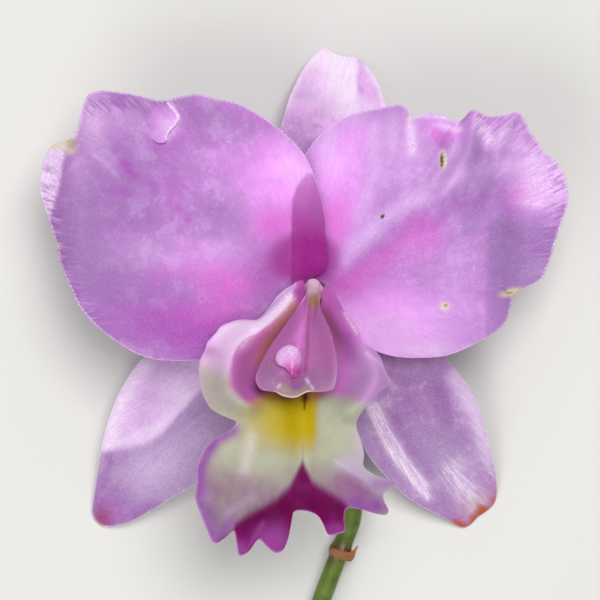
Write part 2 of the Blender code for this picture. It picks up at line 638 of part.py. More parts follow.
make_stem()
blade("top_sepal", TOP_SEPAL_CENTRE, TOP_SEPAL_MARGIN, top_sepal_height,
      SEPAL_THICKNESS, SEPAL_RINGS, 1, 0.0)
blade("left_sepal", LEFT_SEPAL_CENTRE, LEFT_SEPAL_MARGIN, left_sepal_height,
      SEPAL_THICKNESS, SEPAL_RINGS, 1, 0.0)
blade("right_sepal", RIGHT_SEPAL_CENTRE, RIGHT_SEPAL_MARGIN, right_sepal_height,
      SEPAL_THICKNESS, SEPAL_RINGS, 1, 0.0)
blade("right_petal", RIGHT_PETAL_CENTRE, RIGHT_PETAL_MARGIN, right_petal_height,
      PETAL_THICKNESS, PETAL_RINGS, 1, 0.45)
blade("left_petal", LEFT_PETAL_CENTRE, LEFT_PETAL_MARGIN, left_petal_height,
      PETAL_THICKNESS, PETAL_RINGS, 1, 0.45)
blade("lip", LIP_CENTRE, LIP_MARGIN, lip_height,
      LIP_THICKNESS, LIP_RINGS, 1, 0.5)
make_column()
make_cap()
make_bract()
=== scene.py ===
"""A cattleya bloom on its cut stem: fine blades, lip, column and stem with their finishes."""

import math

import bpy
import numpy as np
from bpy.props import FloatProperty, FloatVectorProperty, PointerProperty
from bpy.types import Operator, Panel, PropertyGroup
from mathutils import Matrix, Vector


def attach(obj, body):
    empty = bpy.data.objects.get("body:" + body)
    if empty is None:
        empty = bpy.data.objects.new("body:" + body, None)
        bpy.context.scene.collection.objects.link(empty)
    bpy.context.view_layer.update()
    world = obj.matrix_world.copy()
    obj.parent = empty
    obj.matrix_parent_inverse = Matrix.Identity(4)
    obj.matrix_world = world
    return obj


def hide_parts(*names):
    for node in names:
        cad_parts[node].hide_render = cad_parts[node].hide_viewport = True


bl_info = {
    "name": "Cattleya Bloom",
    "version": (1, 0, 0),
    "blender": (4, 5, 0),
    "location": "View3D > Sidebar > Bloom",
    "description": "Builds the petals, sepals, lip, column and stem of a cut cattleya bloom",
    "category": "Object",
}

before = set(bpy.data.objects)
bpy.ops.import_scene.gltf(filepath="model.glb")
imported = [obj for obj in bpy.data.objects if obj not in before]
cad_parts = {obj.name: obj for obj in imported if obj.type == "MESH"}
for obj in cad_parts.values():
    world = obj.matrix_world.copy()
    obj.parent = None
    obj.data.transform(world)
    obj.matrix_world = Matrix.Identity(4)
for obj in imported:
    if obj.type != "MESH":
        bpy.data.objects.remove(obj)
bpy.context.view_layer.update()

MM = 0.001

# All sizes before the stage's are in millimetres, and places are counted from the picture's
# middle, which stands here on the table
SHIFT_X = -0.65
SHIFT_Y = 8.05

# Hub that carries the pieces
HUB_X = 2.7
HUB_Y = 1.7
HUB_RADIUS = 2.3
HUB_TOP = 28.4

# Heights at which the blades leave the hub
SEPAL_ROOT_HEIGHT = 22.6
RIGHT_PETAL_ROOT_HEIGHT = 25.6
LEFT_PETAL_ROOT_HEIGHT = 27.2

# Bends of the petals and the sepals
PETAL_REACH = 46.0
PETAL_BEND_START = 22.0
SEPAL_HALF_WIDTH = 14.0
SEPAL_DROP_POWER = 1.45

# Left petal, and the small ear that is folded over at its top
LEFT_PETAL_CENTRE = (-2.5, 1.9)
LEFT_PETAL_MARGIN = [
    (5.2, 6.4), (5.4, 10.5), (5.0, 17.5), (3.6, 24.0), (1.0, 30.2), (-2.1, 33.8),
    (-6.3, 37.3), (-10.5, 39.9), (-13.7, 41.5), (-17.8, 42.3), (-21.4, 43.2),
    (-25.2, 42.8), (-28.3, 42.1), (-31.9, 42.5), (-35.3, 43.4), (-38.9, 43.9),
    (-42.4, 44.1), (-44.9, 43.1), (-46.1, 40.3), (-46.9, 36.4), (-47.6, 34.5),
    (-49.4, 33.7), (-52.4, 33.0), (-54.2, 30.9), (-55.2, 27.4), (-55.4, 25.0),
    (-55.2, 22.8), (-54.6, 20.8), (-53.5, 17.2), (-51.6, 12.0), (-50.3, 7.0), (-47.3, 0.2),
    (-45.2, -2.9), (-42.0, -6.2), (-37.8, -9.3), (-33.6, -11.6), (-28.4, -12.7),
    (-21.0, -12.5), (-13.7, -10.4), (-8.0, -6.6), (-3.6, -2.6), (-0.9, -0.2),
    (-0.3, 1.6), (0.3, 3.4), (2.2, 4.6),
]
LEFT_PETAL_FOLDS = [
    ([(-14.0, 16.0), (-27.0, 30.0), (-34.0, 40.0)], 4.5, 0.8),
    ([(-16.0, 4.0), (-34.0, 8.0), (-46.0, 10.0)], 6.0, 0.7),
    ([(-12.0, 10.0), (-30.0, 20.0), (-44.0, 26.0)], 4.5, -0.6),
]

EAR_CENTRE = (-28.9, 37.4)
EAR_MARGIN = [
    (-27.4, 41.6), (-26.5, 40.5), (-25.9, 39.3), (-25.3, 38.5), (-25.2, 37.8), (-25.7, 37.0),
    (-26.1, 36.4), (-27.2, 35.1), (-27.7, 34.1), (-27.6, 33.4), (-28.4, 32.8), (-29.7, 32.8),
    (-30.7, 33.5), (-31.8, 34.9), (-32.6, 36.4), (-32.9, 38.2), (-32.6, 40.0), (-31.6, 41.3),
    (-29.8, 41.8), (-28.5, 41.8),
]
EAR_HINGE = [(-32.4, 34.6), (-33.0, 38.0), (-32.2, 41.4), (-27.6, 42.4)]
EAR_LIFT = 1.3
EAR_LIFT_RUN = 5.0
EAR_SINK = 0.14

# Right petal
RIGHT_PETAL_CENTRE = (7.8, 1.9)
RIGHT_PETAL_MARGIN = [
    (2.6, 4.9), (0.2, 7.6), (-1.6, 13.6), (-1.3, 22.0), (0.4, 29.0), (2.7, 33.0),
    (5.2, 35.5), (8.4, 37.8), (11.6, 39.3), (14.7, 39.9), (17.9, 40.5), (21.0, 41.1),
    (22.7, 40.1), (23.3, 38.3), (25.2, 39.0), (27.4, 39.5), (30.1, 38.9),
    (32.7, 37.8), (34.2, 38.1), (36.3, 40.0), (39.3, 38.9), (42.6, 38.9),
    (45.8, 39.6), (47.4, 38.3), (48.4, 36.0), (50.3, 33.3), (51.5, 31.2),
    (53.6, 29.8), (55.6, 27.3), (56.4, 24.6), (56.7, 21.8), (56.4, 19.4),
    (55.0, 15.3), (53.3, 9.4), (52.3, 6.4), (51.2, 4.6), (48.6, 3.0), (45.2, 1.3),
    (44.7, -0.8), (43.7, -4.0), (42.0, -6.0), (38.8, -8.1), (34.7, -10.3),
    (30.6, -11.8), (25.2, -12.2), (19.9, -11.8), (14.7, -10.1), (10.4, -6.6),
    (7.2, -2.9), (5.9, -0.6), (5.7, 1.4), (5.2, 3.3),
]
RIGHT_PETAL_FOLDS = [
    ([(30.0, 22.0), (35.5, 31.0), (36.5, 40.0)], 1.9, 1.3),
    ([(28.0, 24.0), (32.5, 32.0), (33.6, 39.0)], 1.7, -0.9),
    ([(36.0, 22.0), (41.0, 31.0), (43.8, 39.0)], 2.2, 0.9),
    ([(34.0, 20.0), (39.3, 30.0), (40.0, 38.0)], 1.7, -0.7),
    ([(8.0, 4.5), (13.0, 12.0), (23.0, 18.5), (34.0, 25.0)], 3.6, 0.9),
    ([(10.0, 3.5), (17.0, 9.0), (26.0, 14.0), (34.0, 16.0)], 3.2, -0.8),
]

# Sepals
TOP_SEPAL_CENTRE = (7.0, 32.0)
TOP_SEPAL_MARGIN = [
    (1.4, 4.8), (-0.6, 9.0), (-2.2, 14.0), (-4.2, 23.6), (-4.9, 32.0), (-4.3, 37.1),
    (-3.3, 41.2), (-1.9, 45.6), (1.2, 52.1), (4.4, 55.7), (5.7, 56.1), (7.7, 54.9),
    (9.6, 54.2), (12.3, 54.1), (14.2, 52.8), (16.4, 50.0), (17.9, 46.4), (19.0, 42.6),
    (19.3, 39.2), (18.5, 33.4), (16.2, 25.9), (11.7, 14.9), (7.8, 8.4), (5.0, 4.8),
    (3.2, 4.5),
]
TOP_SEPAL_TIP = (6.6, 56.0)
TOP_SEPAL_KEEL = ([(4.6, 20.0), (7.4, 42.0), (11.5, 53.0)], 1.2, 0.45)

LEFT_SEPAL_CENTRE = (-25.0, -24.0)
LEFT_SEPAL_MARGIN = [
    (-0.2, 1.2), (-4.4, 0.0), (-12.8, -3.2), (-21.5, -6.4), (-29.2, -9.8), (-34.1, -12.6),
    (-37.9, -17.4), (-40.2, -21.5), (-42.0, -26.1), (-43.2, -30.0), (-44.1, -34.0),
    (-44.9, -38.5), (-46.1, -45.2), (-46.3, -47.7), (-45.3, -49.5), (-43.7, -50.4),
    (-41.7, -50.4), (-37.6, -49.2), (-32.6, -46.3), (-28.0, -43.4), (-23.0, -40.2),
    (-16.4, -33.8), (-9.7, -24.9), (-5.4, -16.1), (-1.2, -6.0), (0.7, -1.3), (0.2, 0.2),
]
LEFT_SEPAL_TIP = (-44.2, -49.8)
LEFT_SEPAL_KEEL = ([(-16.0, -21.0), (-26.0, -28.5), (-36.0, -37.0), (-44.0, -47.0)], 1.4, 0.6)

RIGHT_SEPAL_CENTRE = (26.0, -24.0)
RIGHT_SEPAL_MARGIN = [
    (5.6, 0.9), (8.5, 0.2), (17.0, -2.7), (25.7, -7.5), (31.5, -12.5), (34.3, -15.6),
    (37.1, -19.5), (39.2, -23.8), (40.6, -27.8), (41.7, -31.6), (42.8, -35.7),
    (43.6, -39.4), (43.8, -43.1), (43.1, -45.6), (41.3, -47.2), (39.6, -48.3),
    (37.8, -50.2), (36.1, -50.6), (32.7, -48.8), (29.5, -47.1), (26.8, -45.6),
    (23.4, -43.2), (21.1, -41.1), (19.1, -38.9), (16.2, -35.7), (14.4, -33.1),
    (12.8, -29.3), (12.1, -25.8), (11.0, -21.5), (9.5, -15.0), (6.8, -7.0), (4.9, -1.2),
    (5.3, 0.0),
]
RIGHT_SEPAL_TIP = (38.6, -49.0)
RIGHT_SEPAL_KEEL = ([(15.4, -24.4), (22.0, -34.0), (29.5, -44.5)], 1.5, 0.8)

# Lip: its outline, its two crests, its groove and the heights of its middle line
LIP_CENTRE = (1.0, -30.0)
LIP_MARGIN = [
    (-0.7, 3.8), (-1.6, 3.1), (-3.1, 2.2), (-4.7, 0.8), (-6.1, -1.0), (-7.5, -2.9),
    (-8.9, -4.0), (-12.2, -4.0), (-14.3, -4.5), (-16.3, -5.4), (-17.3, -6.7),
    (-19.0, -8.6), (-19.5, -10.2), (-20.3, -11.8), (-20.7, -13.6), (-20.6, -15.6),
    (-20.0, -18.8), (-19.2, -20.5), (-18.2, -22.0), (-16.3, -23.2), (-14.2, -24.1),
    (-13.0, -24.7), (-13.6, -25.9), (-15.4, -27.2), (-17.9, -28.6), (-19.9, -31.0),
    (-21.1, -34.1), (-21.0, -36.6), (-21.3, -39.0), (-21.4, -40.9), (-20.5, -43.6),
    (-19.3, -46.7), (-18.1, -49.6), (-17.1, -50.0), (-15.3, -48.7), (-13.6, -47.2),
    (-13.0, -49.8), (-12.5, -52.5), (-10.5, -51.6), (-8.5, -49.0), (-6.9, -50.4),
    (-5.1, -51.8), (-3.4, -51.2), (-2.4, -48.6), (-1.7, -45.0), (-1.3, -43.2),
    (0.3, -42.8), (2.1, -43.1), (3.7, -44.0), (4.8, -45.8), (5.8, -47.9), (7.8, -47.8),
    (9.2, -47.1), (9.0, -44.8), (9.5, -42.4), (12.3, -42.6), (15.4, -43.6),
    (17.6, -43.9), (18.1, -42.9), (17.2, -41.0), (17.1, -39.4), (19.0, -38.2),
    (19.6, -37.3), (17.6, -36.4), (14.9, -35.3), (12.9, -33.6), (13.0, -31.1),
    (12.3, -28.4), (11.7, -26.6), (11.5, -24.4), (13.2, -21.5), (14.8, -19.8),
    (16.6, -18.3), (18.4, -16.7), (17.4, -14.5), (16.2, -11.3), (14.3, -9.6),
    (12.8, -8.6), (12.1, -6.7), (11.0, -4.7), (9.1, -2.2), (7.4, 0.8), (6.2, 2.7),
    (5.2, 3.0), (4.8, 1.9), (4.5, 0.0), (4.1, -1.4), (2.9, -2.0), (1.7, -1.5),
    (1.15, 0.0), (1.05, 2.0), (0.85, 3.6), (0.3, 4.1),
]
LIP_LEFT_CREST = [
    (-0.6, 2.8), (-3.0, -1.8), (-6.5, -4.8), (-9.8, -7.1), (-12.6, -10.2),
    (-14.0, -14.6), (-13.4, -18.4), (-10.6, -21.2),
]
LIP_RIGHT_CREST = [
    (5.8, 1.6), (8.6, -2.4), (11.2, -6.2), (13.6, -10.4), (15.4, -14.8), (13.4, -19.6),
    (10.6, -23.0),
]
LIP_GROOVE = [
    (2.7, -1.0), (0.8, -8.0), (-0.6, -16.0), (0.6, -24.0), (0.8, -34.0),
]
LIP_CREST_WIDTH = 3.4
LIP_LEFT_CREST_HEIGHT = 4.6
LIP_RIGHT_CREST_HEIGHT = 5.4
LIP_GROOVE_WIDTH = 3.2
LIP_GROOVE_DEPTH = 2.2
LIP_FRONT_FOLDS = [
    ([(-9.0, -34.0), (-13.0, -44.0)], 4.0, 1.2),
    ([(9.0, -33.0), (12.0, -39.0)], 3.4, 0.8),
]
LIP_RIPPLE = 0.25
LIP_MIDLINE_Y = [4.0, 1.0, -3.0, -8.0, -14.0, -20.0, -26.0, -33.0, -40.0, -47.0, -53.0]
LIP_MIDLINE_Z = [30.6, 30.7, 31.4, 33.2, 35.0, 36.7, 38.4, 39.4, 38.6, 36.4, 34.0]

# Column, its foot and its rounded back; the places of its heights are counted along -y
COLUMN_CENTRE = (0.6, -9.0)
COLUMN_MARGIN = [
    (1.6, 3.9), (1.3, 1.5), (-0.5, -1.4), (-3.4, -5.6), (-6.4, -10.0), (-8.5, -14.2),
    (-8.9, -16.2), (-7.8, -18.0), (-5.0, -18.5), (-3.4, -19.3), (-1.0, -19.6),
    (1.6, -18.5), (4.2, -18.5), (6.6, -18.0), (7.2, -16.6), (7.5, -13.0), (6.5, -7.2),
    (5.2, -4.0), (4.2, -1.6), (4.2, 1.6), (4.1, 3.6), (2.8, 4.4),
]
COLUMN_EDGE_THICKNESS = 0.9
COLUMN_CLEARANCE = 0.55
FOOT_REACH = 1.25
COLUMN_BACK = [
    (1.6, 3.2), (1.9, -2.4), (-0.6, -8.6), (-1.8, -14.4),
]
COLUMN_BACK_WIDTH = 4.2
COLUMN_BACK_HEIGHT = 2.6
COLUMN_TOP_PLACES = [-4.5, 0.0, 5.0, 10.0, 15.0, 20.0]
COLUMN_TOP_HEIGHTS = [31.6, 33.2, 37.6, 40.8, 42.6, 42.8]
COLUMN_FLOOR_PLACES = [-4.5, -1.0, 1.0, 5.0, 10.0, 15.0, 20.0]
COLUMN_FLOOR_HEIGHTS = [28.8, 28.8, 30.2, 34.6, 37.2, 39.2, 40.8]
COLUMN_FURROW = [(2.0, -1.0), (1.7, -5.0), (1.55, -9.5), (1.2, -14.0)]
COLUMN_FURROW_DEPTH = 0.10
COLUMN_CREST = [(1.0, -1.6), (0.3, -4.6), (-0.4, -8.8)]
COLUMN_CREST_HEIGHT = 0.40

# Anther cap
CAP_CENTRE = (-2.2, -11.6)
CAP_MARGIN = [
    (-1.8, -9.0), (-0.6, -9.6), (0.2, -10.9), (0.3, -12.4), (0.0, -13.9), (-0.6, -15.1),
    (-1.5, -15.3), (-2.2, -14.4), (-3.0, -13.5), (-4.3, -12.9), (-4.9, -11.7),
    (-4.4, -10.3), (-3.2, -9.3),
]
CAP_HEIGHT = 1.9
CAP_GAP = 0.35
CAP_WALL = 0.5
CAP_SINK = 0.56

# Stem, its knob and its joint
STEM_PATH = [
    (2.7, 1.7, 17.5), (3.1, 0.2, 12.6), (4.4, -5.0, 8.7),
    (6.6, -14.0, 6.6), (9.0, -28.0, 5.4), (11.2, -42.0, 4.9), (11.5, -48.0, 4.8),
    (8.9, -55.2, 4.7), (5.2, -65.0, 4.5), (2.9, -71.5, 4.4),
]
KNOB_PROFILE = [
    (HUB_TOP, 0.01), (HUB_TOP, HUB_RADIUS - 0.45), (HUB_TOP - 0.12, HUB_RADIUS - 0.15),
    (HUB_TOP - 0.4, HUB_RADIUS), (26.0, HUB_RADIUS), (24.5, HUB_RADIUS), (23.0, HUB_RADIUS),
    (21.8, 2.25), (20.8, 2.1), (19.4, 1.95),
]
STEM_END_Y = -72.17
STEM_END_SHARES = (0.92, 0.6, 0.3, 0.01)
STEM_RADIUS = 2.05
STEM_NECK_RADIUS = 1.75
STEM_NECK_LENGTH = 9.0
STEM_RIBS = 9.0
STEM_RIB_DEPTH = 0.012
STEM_JOINT_X = 8.83
STEM_JOINT_Y = -55.4
STEM_JOINT_Z = 4.7
STEM_JOINT_SWELL = 0.55
STEM_JOINT_LENGTH = 1.3
STEM_PINCH = 0.16
STEM_PINCH_OFFSET = 1.6
STEM_PINCH_LENGTH = 0.7

# Bract that is wrapped over the joint, with its outline laid flat: across the stem, and along it
BRACT_MARGIN = [
    (-4.4, -1.2), (-2.0, -1.3), (0.6, -1.3), (2.6, -1.2), (3.3, -0.4), (3.1, 1.0),
    (2.8, 2.6), (1.6, 1.5), (0.0, 0.8), (-2.0, 0.6), (-4.0, 0.4), (-4.9, -0.4),
]
BRACT_CENTRE = (0.6, -0.2)
BRACT_MIDDLE_DEGREES = 35.0
BRACT_BEND_RADIUS = 3.3
BRACT_CLEARANCE = 0.42
BRACT_FLARE = 0.16
BRACT_RIB_HEIGHT = 0.04
BRACT_RIB_COUNT = 9.0

# Fineness: rings out from a piece's middle, and parts in each stretch of its outline
PETAL_RINGS = 60
LEFT_PETAL_PARTS = 16
RIGHT_PETAL_PARTS = 15
EAR_RINGS = 26
EAR_PARTS = 8
SEPAL_RINGS = 48
SEPAL_PARTS = 12
LIP_RINGS = 80
LIP_PARTS = 6
COLUMN_RINGS = 60
COLUMN_PARTS = 12
CAP_RINGS = 28
CAP_PARTS = 8
BRACT_RINGS = 16
BRACT_PARTS = 8
STEM_SIDES = 64
STEM_STEPS = 26

# Margins and thicknesses of the blades, and the spacing of their rings
PETAL_TOOTH_LENGTH = 0.9
SEPAL_TOOTH_LENGTH = 1.1
SEPAL_TEETH = 0.08
EAR_THICKNESS = 0.34
BLADE_TAPER = 0.55
SEPAL_TAPER = 0.12
RING_CROWDING = 1.35
RING_NUDGE = 0.0001

# Stage: floor, camera, lights and the plain white world, with sizes in metres, apart from the
# camera's sensor, which is in millimetres
FLOOR_HALF = 1.6
PETAL_PLANE = 25.0 * MM
SENSOR_WIDTH = 36.0
CLIP_START = 0.01
KEY_PLACE = (0.12, 0.24, 0.70)
KEY_SIZE = 0.40
FILL_PLACE = (-0.30, -0.42, 0.50)
FILL_SIZE = 0.5
LIGHT_AIM = (0.0, 0.0, 0.02)
SKY_STRENGTH = 0.30


def srgb(red, green, blue):
    """A screen colour of 0 to 255 as light values."""
    light = []
    for value in (red, green, blue):
        share = value / 255.0
        light.append(share / 12.92 if share <= 0.04045 else ((share + 0.055) / 1.055) ** 2.4)
    return tuple(light)


def rgba(colour):
    return (colour[0], colour[1], colour[2], 1.0)


def screen(**values):
    """Named screen colours as light values."""
    return {name: srgb(*value) for name, value in values.items()}


# Shader maths

class Wire:
    """A socket that can stand in an expression; each operator adds its Math node."""

    def __init__(self, tree, socket):
        self.tree = tree
        self.socket = socket

    def math(self, operation, first, second=None):
        inputs = {0: first}
        if second is not None:
            inputs[1] = second
        return self.tree.node("ShaderNodeMath", {"operation": operation}, inputs)

    def __add__(self, other):
        return self.math("ADD", self, other)

    def __radd__(self, other):
        return self.math("ADD", other, self)

    def __sub__(self, other):
        return self.math("SUBTRACT", self, other)

    def __rsub__(self, other):
        return self.math("SUBTRACT", other, self)

    def __mul__(self, other):
        return self.math("MULTIPLY", self, other)

    def __pow__(self, other):
        return self.math("POWER", self, other)

    def sine(self):
        return self.math("SINE", self)

    def clamped(self):
        return self.tree.node("ShaderNodeClamp", {}, {"Value": self})

    def between(self, low, high):
        """0 at low, 1 at high, eased in between."""
        return self.tree.node(
            "ShaderNodeMapRange", {"interpolation_type": "SMOOTHSTEP"},
            {"Value": self, "From Min": low, "From Max": high},
        )


class Tree:
    """The node tree of one material."""

    def __init__(self, name):
        self.material = bpy.data.materials.new(name)
        self.material.use_nodes = True
        self.nodes = self.material.node_tree.nodes
        self.links = self.material.node_tree.links
        self.shader = self.nodes["Principled BSDF"]

    def node(self, kind, settings, inputs, output=0):
        """Add one node: its settings first, then the values or wires of its sockets."""
        made = self.nodes.new(kind)
        for name, value in settings.items():
            setattr(made, name, value)
        for key, value in inputs.items():
            self.feed(made.inputs[key], value)
        return Wire(self, made.outputs[output])

    def feed(self, socket, value):
        if isinstance(value, Wire):
            self.links.new(value.socket, socket)
        else:
            socket.default_value = value

    def attribute(self, name):
        return self.node("ShaderNodeAttribute", {"attribute_name": name}, {}, "Fac")

    def place(self):
        """Place on the piece, in metres."""
        return self.node("ShaderNodeTexCoord", {}, {}, "Object")

    def noise(self, size_mm, detail=2.0, stretch=None, rough=0.5):
        where = self.place()
        if stretch is not None:
            where = self.node("ShaderNodeMapping", {}, {"Vector": where, "Scale": stretch})
        return self.node("ShaderNodeTexNoise", {},
                         {"Vector": where, "Scale": 1.0 / (size_mm * MM), "Detail": detail,
                          "Roughness": rough})

    def fibre(self, fan, out, around, along):
        """Grain drawn out along the lines that leave the hub."""
        where = self.node("ShaderNodeCombineXYZ", {}, {"X": fan * around, "Y": out * along})
        return self.node("ShaderNodeTexNoise", {},
                         {"Vector": where, "Scale": 1.0, "Detail": 3.0, "Roughness": 0.55})

    def cells(self, size_mm):
        return self.node("ShaderNodeTexVoronoi", {"feature": "F1"},
                         {"Vector": self.place(), "Scale": 1.0 / (size_mm * MM)}, "Distance")

    def mix(self, first, second, share):
        """Blend two colours."""
        values = [rgba(v) if isinstance(v, (tuple, list)) else v for v in (first, second)]
        return self.node("ShaderNodeMix", {"data_type": "RGBA"},
                         {0: share, 6: values[0], 7: values[1]}, 2)

    def lay(self, colour, colours, keys, softened=(), soft=None):
        """Cover a colour with others, each by its own share; soft breaks some shares up."""
        for key in keys:
            share = self.attribute(key)
            if key in softened:
                share = (share * soft).clamped()
            colour = self.mix(colour, colours[key], share)
        return colour

    def bump(self, height, distance_mm, strength):
        return self.node("ShaderNodeBump", {},
                         {"Height": height, "Distance": distance_mm * MM, "Strength": strength},
                         "Normal")

    def finish(self, colour, roughness, normal, constants=None):
        self.feed(self.shader.inputs["Base Color"], colour)
        self.feed(self.shader.inputs["Roughness"], roughness)
        self.feed(self.shader.inputs["Normal"], normal)
        for name, value in (constants or {}).items():
            self.shader.inputs[name].default_value = value
        return self.material


# Forms

def smooth(value):
    value = np.clip(value, 0.0, 1.0)
    return value * value * (3.0 - 2.0 * value)


def reach(x, y, path):
    """Distance from each place to a path of straight pieces."""
    best = np.full(np.shape(x), 1.0e9)
    for (ax, ay), (bx, by) in zip(path[:-1], path[1:]):
        run_x = bx - ax
        run_y = by - ay
        along = ((x - ax) * run_x + (y - ay) * run_y) / (run_x ** 2 + run_y ** 2)
        along = np.clip(along, 0.0, 1.0)
        away = np.hypot(x - ax - along * run_x, y - ay - along * run_y)
        best = np.minimum(best, away)
    return best


def hermite(t):
    """Weights of a stretch's start, leaving slope, end and arriving slope at its share t."""
    return (2 * t ** 3 - 3 * t ** 2 + 1, t ** 3 - 2 * t ** 2 + t, -2 * t ** 3 + 3 * t ** 2,
            t ** 3 - t ** 2)


def path_curve(keys, parts):
    """Smooth open curve through the key places."""
    keys = np.array(keys)
    places = []
    last = len(keys) - 1
    for i in range(last):
        here = keys[i]
        after = keys[i + 1]
        leave = 0.5 * (after - keys[max(i - 1, 0)])
        arrive = 0.5 * (keys[min(i + 2, last)] - here)
        for j in range(parts):
            a, b, c, d = hermite(j / parts)
            places.append(a * here + b * leave + c * after + d * arrive)
    places.append(keys[last])
    return np.array(places)


def ridge(x, y, path, width, height):
    """A rounded fold along a path."""
    return height * np.exp(-(reach(x, y, path) / width) ** 2)


def folds(x, y, paths):
    """Sum of rounded folds, each a path with its width and its height."""
    return sum(ridge(x, y, path, width, height) for path, width, height in paths)


def dome(x, y, centre, radius, height):
    """A rounded swelling about one place."""
    away = np.hypot(x - centre[0], y - centre[1])
    return height * np.exp(-(away / radius) ** 2)


def line_x(y, places):
    """First number of a line through the places at each y; they are listed upwards."""
    return np.interp(y, [place[1] for place in places], [place[0] for place in places])


def line_y(x, places):
    """Second number of a line through the places at each x; they are listed to the right."""
    return np.interp(x, [place[0] for place in places], [place[1] for place in places])


def spot(x, y, centre, half_x, half_y, turn=0.0, sharp=1.2):
    """Share of 1 inside an oval, falling off round it; a higher sharp gives a crisper edge."""
    lean = math.radians(turn)
    dx = x - centre[0]
    dy = y - centre[1]
    u = (dx * math.cos(lean) + dy * math.sin(lean)) / half_x
    v = (dy * math.cos(lean) - dx * math.sin(lean)) / half_y
    return np.exp(-(u * u + v * v) ** sharp * 0.7)


def over(*shares):
    """Lay shares over each other: each covers a part of what the others leave clear."""
    clear = 1.0
    for share in shares:
        clear = clear * (1.0 - share)
    return 1.0 - clear


def stain(x, y, marks):
    """Share of a colour: a function of the place, or spots and streaks laid over each other.

    A streak is its path, width and share. A spot is its centre, half its size each way and its
    share, with its turn in degrees and its sharpness where they aren't 0 and 1.2.
    """
    if callable(marks):
        return marks(x, y)
    shares = []
    for mark in marks:
        if isinstance(mark[0], list):
            path, width, share = mark
            shares.append(ridge(x, y, path, width, share))
        else:
            centre, half_x, half_y, share, *shape = mark
            shares.append(share * spot(x, y, centre, half_x, half_y, *shape))
    return over(*shares)


def from_hub(x, y):
    return np.hypot(x - HUB_X, y - HUB_Y)


def petal_arch(x, y, root, rise, droop):
    """A blade that rises from the hub and bends down again towards its margin."""
    away = from_hub(x, y)
    return (root + rise * np.sin(math.pi * np.clip(away / PETAL_REACH, 0.0, 1.0))
            - droop * np.clip(away - PETAL_BEND_START, 0.0, None) ** 2)


def left_petal_height(x, y):
    height = petal_arch(x, y, LEFT_PETAL_ROOT_HEIGHT, rise=2.1, droop=0.0022)
    height -= 3.4 * smooth((-46.5 - x) / 9.0)
    height -= 1.9 * smooth((-4.0 - y) / 10.0) * smooth((-x - 4.0) / 12.0)
    return height + folds(x, y, LEFT_PETAL_FOLDS)


def ear_height(x, y):
    """The ear leaves the petal along its hinge and stands free at its round end."""
    lift = smooth(reach(x, y, EAR_HINGE) / EAR_LIFT_RUN)
    return left_petal_height(x, y) - EAR_SINK + EAR_LIFT * lift


def right_petal_height(x, y):
    height = petal_arch(x, y, RIGHT_PETAL_ROOT_HEIGHT, rise=2.4, droop=0.0012)
    height -= 1.8 * smooth((-3.0 - y) / 10.0) * smooth((x - 12.0) / 12.0)
    height -= 2.2 * smooth((x - 39.0) / 8.0) * smooth((30.0 - y) / 14.0)
    height += dome(x, y, (49.0, 23.0), radius=6.0, height=1.2)
    return height + folds(x, y, RIGHT_PETAL_FOLDS)


def sepal_height(x, y, tip, bow, drop):
    """A blade that leaves the hub level and bends back until its tip is on the table."""
    run_x = tip[0] - HUB_X
    run_y = tip[1] - HUB_Y
    run = math.hypot(run_x, run_y)
    along = ((x - HUB_X) * run_x + (y - HUB_Y) * run_y) / run ** 2
    across = ((y - HUB_Y) * run_x - (x - HUB_X) * run_y) / run
    along = np.clip(along, 0.0, 1.2)
    height = SEPAL_ROOT_HEIGHT - drop * along ** SEPAL_DROP_POWER
    return height - bow * (across / SEPAL_HALF_WIDTH) ** 2


def top_sepal_height(x, y):
    height = sepal_height(x, y, TOP_SEPAL_TIP, bow=2.2, drop=21.97)
    return height + ridge(x, y, *TOP_SEPAL_KEEL)


def left_sepal_height(x, y):
    height = sepal_height(x, y, LEFT_SEPAL_TIP, bow=2.0, drop=21.77)
    return height + ridge(x, y, *LEFT_SEPAL_KEEL)


def right_sepal_height(x, y):
    height = sepal_height(x, y, RIGHT_SEPAL_TIP, bow=2.4, drop=21.68)
    return height + ridge(x, y, *RIGHT_SEPAL_KEEL)


def eased(value, places, heights):
    """Height on a smooth curve through the key heights."""
    curve = path_curve(list(zip(places, heights)), 8)
    return np.interp(value, curve[:, 0], curve[:, 1])


def lip_height(x, y):
    """Two crests beside a groove, and a spreading front lobe with a rippled margin.

    The crests are smooth curves, so that no crease lies on their inner side.
    """
    left_crest = path_curve(LIP_LEFT_CREST, 5)
    right_crest = path_curve(LIP_RIGHT_CREST, 5)
    height = eased(-y, [-v for v in LIP_MIDLINE_Y], LIP_MIDLINE_Z)
    grow = smooth((4.5 - y) / 12.0) * smooth((y + 28.0) / 8.0)
    height += ridge(x, y, left_crest, LIP_CREST_WIDTH, LIP_LEFT_CREST_HEIGHT) * grow
    height += ridge(x, y, right_crest, LIP_CREST_WIDTH, LIP_RIGHT_CREST_HEIGHT) * grow
    height -= ridge(x, y, LIP_GROOVE, LIP_GROOVE_WIDTH, LIP_GROOVE_DEPTH) * smooth((1.0 - y) / 8.0)
    middle = smooth((-26.0 - y) / 8.0)
    height -= 0.011 * middle * np.clip(np.abs(x) - 5.0, 0.0, None) ** 2
    height += folds(x, y, LIP_FRONT_FOLDS) * middle
    return height + LIP_RIPPLE * np.sin(1.0 * x + 0.6 * y) * smooth((-38.0 - y) / 6.0)


def column_height(x, y):
    base = eased(-y, COLUMN_TOP_PLACES, COLUMN_TOP_HEIGHTS)
    return base + ridge(x, y, COLUMN_BACK, COLUMN_BACK_WIDTH, COLUMN_BACK_HEIGHT)


def column_floor(y):
    """Underside of the column, clear of the groove of the lip."""
    return np.interp(-y, COLUMN_FLOOR_PLACES, COLUMN_FLOOR_HEIGHTS)


# Meshes

